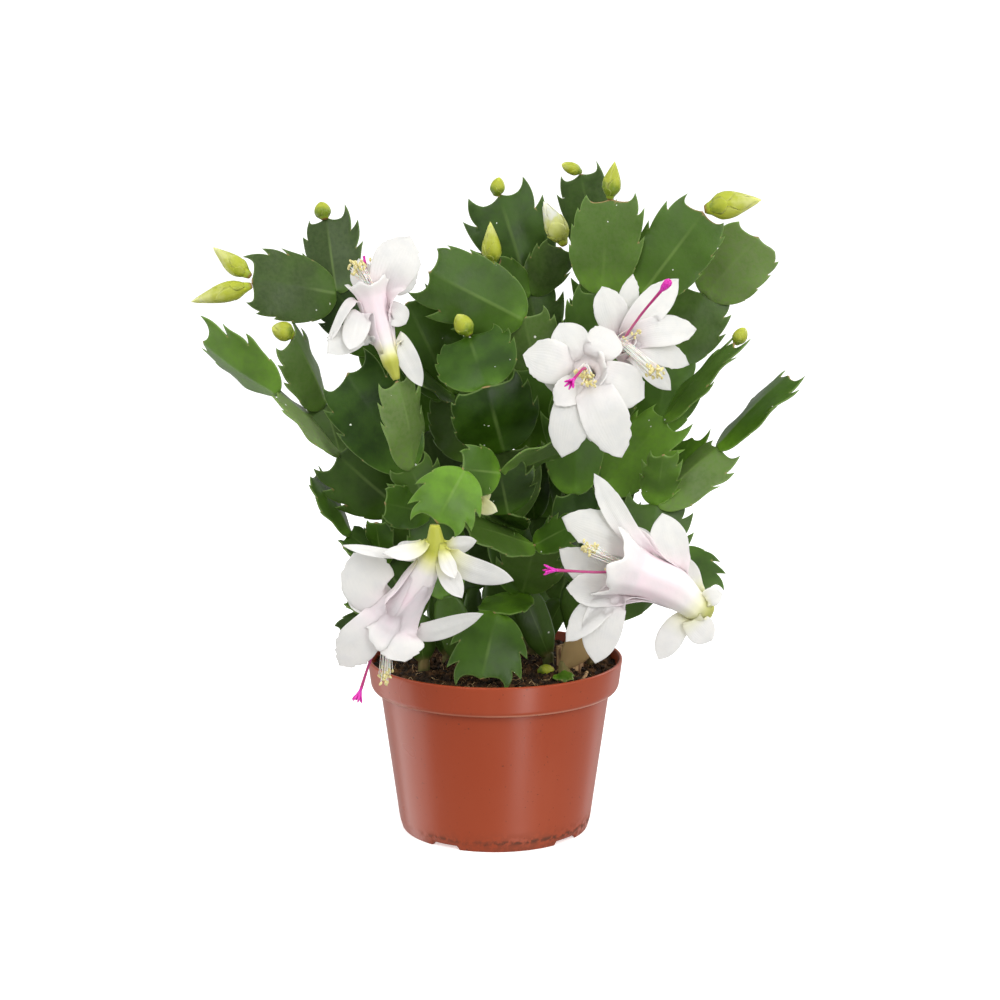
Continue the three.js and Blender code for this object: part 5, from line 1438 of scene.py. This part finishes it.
petal_finish = Finish("petal", Roughness=0.5, Specular_IOR_Level=0.35, Sheen_Weight=0.08, **THIN)
aside, up, pink = petal_finish.attribute("place")
yellow, green, _ = petal_finish.attribute("finish")
drift = petal_finish.speckle(160, 3)
crepe = petal_finish.speckle(1500, 2)
lengthwise = Shade(petal_finish.tree, "ShaderNodeCombineXYZ", {0: aside, 1: up * 0.12})
waves = {"Vector": lengthwise, "Scale": 2.3, "Distortion": 0.8, "Detail": 1.0}
veins = Shade(petal_finish.tree, "ShaderNodeTexWave", waves, "Fac")
cream = drift.step(0.35, 0.7).mix(PETAL["white"], PETAL["shade"])
cream = veins.step(0.55, 1, 0, 0.14).mix(cream, PETAL["shade"])
cream = (pink * drift.step(0.25, 0.7, 1, 0.6)).mix(cream, PETAL["pink"])
cream = green.mix(yellow.mix(cream, PETAL["yellow"]), PETAL["green"])
petal_finish.join(Base_Color=cream, Roughness=drift.step(0.3, 0.7, 0.44, 0.56))
petal_finish.bumps((drift, 0.001, 0.3), (veins, 0.0002, 0.12), (crepe, 0.00008, 0.25))

filament_finish = Finish("filament", Roughness=0.5, Subsurface_Weight=0.3, Subsurface_Scale=0.001)
filament_tint = filament_finish.speckle(200).step(0.35, 0.65).mix(FILAMENT["white"], FILAMENT["cream"])
filament_finish.join(Base_Color=filament_tint)

anther_finish = Finish("anther", Roughness=0.8)
pollen = anther_finish.speckle(2600, 2)
anther_finish.join(Base_Color=pollen.step(0.4, 0.65).mix(POLLEN["cream"], POLLEN["pale"]))
anther_finish.bumps((pollen, 0.0002, 0.7))

style_finish = Finish("style", Roughness=0.35, Subsurface_Weight=0.15, Subsurface_Scale=0.001)
_, up, at_stigma = style_finish.attribute("place")
hairs = style_finish.speckle(2200, 2)
stigma_tint = hairs.step(0.35, 0.65).mix(MAGENTA["stigma"], MAGENTA["hairs"])
style_tint = at_stigma.mix(up.step(0.1, 0.9).mix(MAGENTA["pale"], MAGENTA["deep"]), stigma_tint)
style_finish.join(Base_Color=style_tint)
style_finish.bumps((hairs, 0.0002, 0.5))

anther_tree, given = node_tree("anthers", Length=0.0016, Width=0.0007, Seed=1)
grain = add_node(anther_tree, "GeometryNodeMeshIcoSphere", {"Radius": 0.5, "Subdivisions": 2})
measures = {0: given["Width"], 1: given["Width"], 2: given["Length"]}
measure = add_node(anther_tree, "ShaderNodeCombineXYZ", measures)
turns = {0: (-0.9, -0.9, 0), 1: (0.9, 0.9, 6.28), "Seed": given["Seed"]}
spin = add_node(anther_tree, "FunctionNodeRandomValue", turns, data_type="FLOAT_VECTOR")
laying = {"Points": given["Geometry"], "Instance": grain, "Rotation": spin, "Scale": measure}
end_tree(anther_tree, given, add_node(anther_tree, "GeometryNodeInstanceOnPoints", laying))


def foot_on(bearer, towards, foot_radius):
    """The point just clear of a joint's tip where the round foot of a bloom stands."""
    joint = made_joints[bearer]
    along = blade_directions(joint["base"], joint["tip"], joint["turn"])[0]
    slant = np.linalg.norm(np.cross(unit(towards - joint["tip"]), along))
    return joint["tip"] + along * (foot_radius * slant + 0.525)


def at_share(rows, share):
    """A value along evenly cut rows."""
    marks = np.linspace(0, 1, len(rows))
    return np.stack([np.interp(share, marks, rows[:, k]) for k in range(rows.shape[1])], axis=-1)


def add_tube(piece, path, radius, look):
    """The ovary and the tube, its flared cup, and its wall back down into the throat."""
    outer = np.linspace(0, TUBE["end"], TUBE["rings"])
    mouth = np.array(CUP + THROAT)
    shares = np.concatenate([outer, mouth[:, 0]])
    girth = np.concatenate([form_at(outer, TUBE_FORM), mouth[:, 1]])
    along, across, over = carried_frames(path)
    angles = circle(TUBE["sides"])
    flared = np.clip((shares - 1) / TUBE["flare"], 0, 1)[:, None]
    lobes = np.cos(angles * 5 + 1) + 0.35 * np.cos(angles * 11)
    reach = (girth * radius)[:, None] * (1 + 0.02 * np.cos(angles * 8) + 0.06 * flared * lobes)
    spine, across, over = (at_share(rows, shares) for rows in (path, across, over))
    rings = rings_round(spine, across, over, angles, reach)
    rings += (flared * radius * look["cup"] * (1 + 0.22 * flared * lobes))[..., None] * along[-1]
    up = shares[:, None]
    inner = (np.arange(len(shares)) >= TUBE["rings"])[:, None]
    pink = look["pink"] * np.clip((up - 0.35) / 0.3, 0, 1) * np.clip((1.25 - up) / 0.25, 0, 1)
    yellow = look["yellow"] * np.clip((0.42 - up) / 0.2, 0, 1) + look["cream"]
    green = 0.85 * np.clip((0.3 - up) / 0.1, 0, 1) + 0.25 * inner * np.clip((0.9 - up) / 0.2, 0, 1)
    add_loft(piece, rings, (0, up, pink), (yellow, green, 0))


def petal_line(path, radius, share, tip, draw):
    """A petal's middle line: it hugs the tube up to its own share, then curves out to its tip."""
    along_path = carried_frames(path)[0]
    centre, axis = at_share(path, share), unit(at_share(along_path, share))
    radial = unit(tip - centre - axis * np.dot(tip - centre, axis))
    girth = float(form_at([share], TUBE_FORM)[0]) * radius
    outer = 0.2 + draw.uniform(0, 0.4)
    leave = centre + radial * (girth + outer)
    heading = unit(tip - leave)
    rooted = PETAL_FORM["rooted"]
    hug = PETAL_FORM["seat"] * (1.4 if share > 0.7 else 0.35)
    seats = np.linspace(max(share - hug, 0.13), share, rooted + 1)[:-1]
    sunk = outer - (outer + 0.35) * np.linspace(1, 0, rooted) ** 2
    hugging = at_share(path, seats) + radial * (form_at(seats, TUBE_FORM) * radius + sunk)[:, None]
    pull = np.linalg.norm(tip - leave) * 0.3
    first_pull = leave + unit(axis * 1.1 + heading * 0.5) * pull
    last_pull = tip - unit(heading - axis * 0.15) * pull
    free = np.linspace(0, 1, PETAL_FORM["rows"] - rooted)
    w = free[:, None]
    curve = (1 - w) ** 3 * leave + 3 * w * (1 - w) ** 2 * first_pull
    curve += 3 * w**2 * (1 - w) * last_pull + w**3 * tip
    t = np.concatenate([np.linspace(-0.25, 0, rooted + 1)[:-1], free])
    low_share = np.concatenate([seats, np.full(len(free), share)])
    return np.vstack([hugging, curve]), t, low_share, (leave, axis, radial, girth, girth + outer)


def add_petal(piece, path, radius, petal, look, ragged, draw):
    """One petal, round the tube at its root and cupped, waved and creased where it is free of it."""
    share, tip, width, bow, turn = petal
    share -= look["low"] if share < 0.5 else 0
    tip = np.array(tip, float)
    width *= look["broad"]
    line, t, low_share, root = petal_line(path, radius, share, tip, draw)
    leave, axis, radial, girth, root_radius = root
    _, face, flat_across = blade_directions(leave, tip, turn)
    tangent = np.gradient(line, axis=0)
    tangent /= np.linalg.norm(tangent, axis=1)[:, None]
    round_across = unit(np.cross(axis, radial))
    if np.dot(round_across, flat_across) < 0:
        flat_across = -flat_across
    fade = np.clip((t + 0.2) / 0.35, 0, 1)
    fade = fade * fade * (3 - 2 * fade)
    across = round_across * (1 - fade[:, None]) + flat_across * fade[:, None]
    across -= tangent * np.sum(across * tangent, axis=1)[:, None]
    across /= np.linalg.norm(across, axis=1)[:, None]
    normal = np.cross(tangent, across)
    if np.dot(normal[0], radial) < 0:
        normal = -normal
    late = np.clip((t - 0.55) / 0.45, 0, 1)
    rooted_shape = 0.25 + 0.49 * np.clip(1 + t / 0.25, 0, 1) ** 0.7
    half = width / 2 * np.where(t < 0, rooted_shape, form_at(np.clip(t, 0, 1), PETAL_OUTLINE))
    rooted = PETAL_FORM["rooted"]
    half[:rooted] = np.minimum(half[:rooted], girth * 1.1)
    ring, side = sheet_across(PETAL_FORM["across"])
    ring = np.sin(ring * math.pi / 2)
    bite = 0
    if ragged:
        notches = draw.normal(0, 1, (len(t), 2))
        notches = np.where(ring < 0, notches[:, :1], notches[:, 1:])
        bite = notches * look["bite"] * late[:, None] * np.abs(ring) ** 6
    aside = half[:, None] * ring * (1 + bite)
    cup = draw.uniform(-0.35, 0.75)
    bend = ((1 - fade) / root_radius + fade * cup / max(width, 6))[:, None]
    angle = aside * bend
    reach = np.where(np.abs(angle) < 1e-4, aside, np.sin(angle) / np.where(bend == 0, 1, bend))
    drop = (1 - np.cos(angle)) / np.where(np.abs(bend) < 1e-4, 1e9, bend)
    freed = np.clip(t, 0, 1)
    rise = bow * 4 * freed * (1 - freed) * math.copysign(1, np.dot(normal[-6], face))
    phase = draw.uniform(0, 6.28, 3)
    ripple = 0.45 * fade[:, None] * np.sin(t[:, None] * 7 + phase[0] + 2 * ring) * np.abs(ring) ** 2
    crease = 0.35 * (fade * (1 - late))[:, None] * np.exp(-((ring / 0.12) ** 2))
    thick = (PETAL_FORM["thick"] * (1 - t) + PETAL_FORM["thin"] * freed)[:, None] / 2
    thick = thick * np.sqrt(np.clip(1 - ring**8, 0, 1))
    off = rise[:, None] - drop + ripple - crease + side * thick
    rings = line[:, None] + reach[..., None] * across[:, None] + off[..., None] * normal[:, None]
    up, low_share = t[:, None], low_share[:, None]
    pink = look["pink"] * np.clip((0.45 - up) / 0.5, 0, 0.9) * (share > 0.55)
    foot = np.clip((0.5 - low_share) / 0.25, 0, 1) * np.clip(0.8 - up * 1.6, 0, 1)
    yellow = look["cream"] * (1 - 0.5 * up) + look["yellow"] * foot
    green = 0.7 * np.clip((0.32 - low_share) / 0.12, 0, 1) * np.clip(0.5 - up * 2.5, 0, 1)
    add_loft(piece, rings, (ring, up, pink), (yellow, green, 0))


def make_body(name, bloom, look, draw):
    """The ovary, the tube and the petals, as one piece; gives the tube's path."""
    radius = bloom["radius"]
    route = np.array(bloom["route"], float)
    path = smooth_route(np.vstack([foot_on(bloom["bearer"], route[0], radius * 0.2), route]), 81)
    piece = new_piece()
    add_tube(piece, path, radius * look["girth"], look)
    for index, petal in enumerate(bloom["petals"]):
        add_petal(piece, path, radius * look["girth"], petal, look, index in look["ragged"], draw)
    finished(piece, f"flower_{name}", petal_finish, "petal", f"bloom_{name}")
    return path


def pit_of(path, along):
    """Where the style and the stamens rise from, down in the tube."""
    return at_share(path, PIT) + at_share(along, PIT) * 0.4


def make_style(name, bloom, look, path):
    """The style, from down in the tube, with the lobes of its stigma open or closed into a club."""
    pit = pit_of(path, carried_frames(path)[0])
    line = smooth_route(np.vstack([pit, path[-1], bloom["style"]]), STYLE["rings"])
    up = np.linspace(0, 1, STYLE["rings"])
    piece = new_piece()
    at_stigma = np.clip((up - 0.94) / 0.04, 0, 1)
    rings = round_rings(line, np.interp(up, *STYLE_RADII), STYLE["sides"])
    add_loft(piece, rings, (0, up[:, None], at_stigma[:, None]))
    end = line[-1]
    heading = unit(line[-1] - line[-4])
    size = look["stigma"]
    lobes = bloom["lobes"] or STYLE["closed_lobes"]
    opened, wide = (1.0, 1) if bloom["lobes"] else (0.22, 1.3 * size)
    side = unit(np.cross(heading, (0.2, 1, 0.1)))
    for i in range(lobes):
        out = spun(side, heading, i * 360 / lobes + 8)
        spots = [
            end - heading * 1.2 + out * 0.25,
            end + heading * 1.4 * size + out * (0.35 + 0.55 * opened) * wide,
            end + heading * 3.0 * size + out * (0.3 + 1.5 * opened) * wide,
            end + heading * 4.2 * size + out * (0.1 + 2.2 * opened),
        ]
        radii = wide * np.interp(np.linspace(0, 1, STYLE["lobe_rings"]), *LOBE_RADII)
        lobe = round_rings(smooth_route(spots, STYLE["lobe_rings"]), radii, STYLE["lobe_sides"])
        add_loft(piece, lobe, (0, 1, 1))
    finished(piece, f"pistil_{name}", style_finish, "style", f"bloom_{name}_style")


def make_stamens(name, bloom, path, draw):
    """Thin filaments that fan out of the throat, each with its anther, on a ring that joins their feet."""
    along = carried_frames(path)[0]
    axis = along[-1]
    pit = pit_of(path, along)
    middle = np.array(bloom["stamens"], float)
    style_tip = np.array(bloom["style"][-1], float)
    away = unit(middle - style_tip - axis * np.dot(middle - style_tip, axis))
    beside = np.cross(axis, away)
    lines = []
    for i in range(STAMENS["count"]):
        angle = math.radians(draw.uniform(-110, 110))
        out = away * math.cos(angle) + beside * math.sin(angle)
        start = pit + axis * 0.5 + out * STAMENS["inner"]
        mouth = path[-1] + out * draw.uniform(1.2, 2.6) + axis * draw.uniform(2.5, 6)
        end = middle + out * draw.uniform(0.2, 1.15) * STAMENS["spread"] + axis * draw.uniform(-2, 4.5)
        if i % 4 == 0:
            end = path[-1] + unit(style_tip - path[-1]) * draw.uniform(7, 15) + out * draw.uniform(1.2, 3.5)
        lines.append(smooth_route([start, mouth, end], 14) * MM)
    filaments = strands("filaments", lines, STAMENS["radius"], STAMENS["sides"], filament_finish)
    anthers = new_object("anthers", [line[-1] for line in lines])
    run_tree(anther_tree, anthers, anther_finish, **ANTHERS)
    foot_path = np.array([pit - axis * 0.1, pit + axis * 0.8, pit + axis * 1.7])
    foot_ring = new_piece()
    add_loft(foot_ring, round_rings(foot_path, [2.1, 2.1, 1.9], 20))
    foot = new_object("stamen_foot", np.vstack(foot_ring["points"]) * MM, foot_ring["faces"])
    outward(foot)
    smooth(foot)
    foot.data.materials.append(filament_finish.material)
    bundle = joined(f"stamen_bundle_{name}", [filaments, anthers, foot])
    join_row(bundle, None, "stamen", f"bloom_{name}_stamens")


for bloom_name, bloom in BLOOMS.items():
    look = dict(zip(LOOK_PARTS, BLOOM_LOOKS[bloom_name]))
    draw = np.random.default_rng(look["seed"])
    path = make_body(bloom_name, bloom, look, draw)
    if "style" in bloom:
        make_style(bloom_name, bloom, look, path)
        make_stamens(bloom_name, bloom, path, draw)
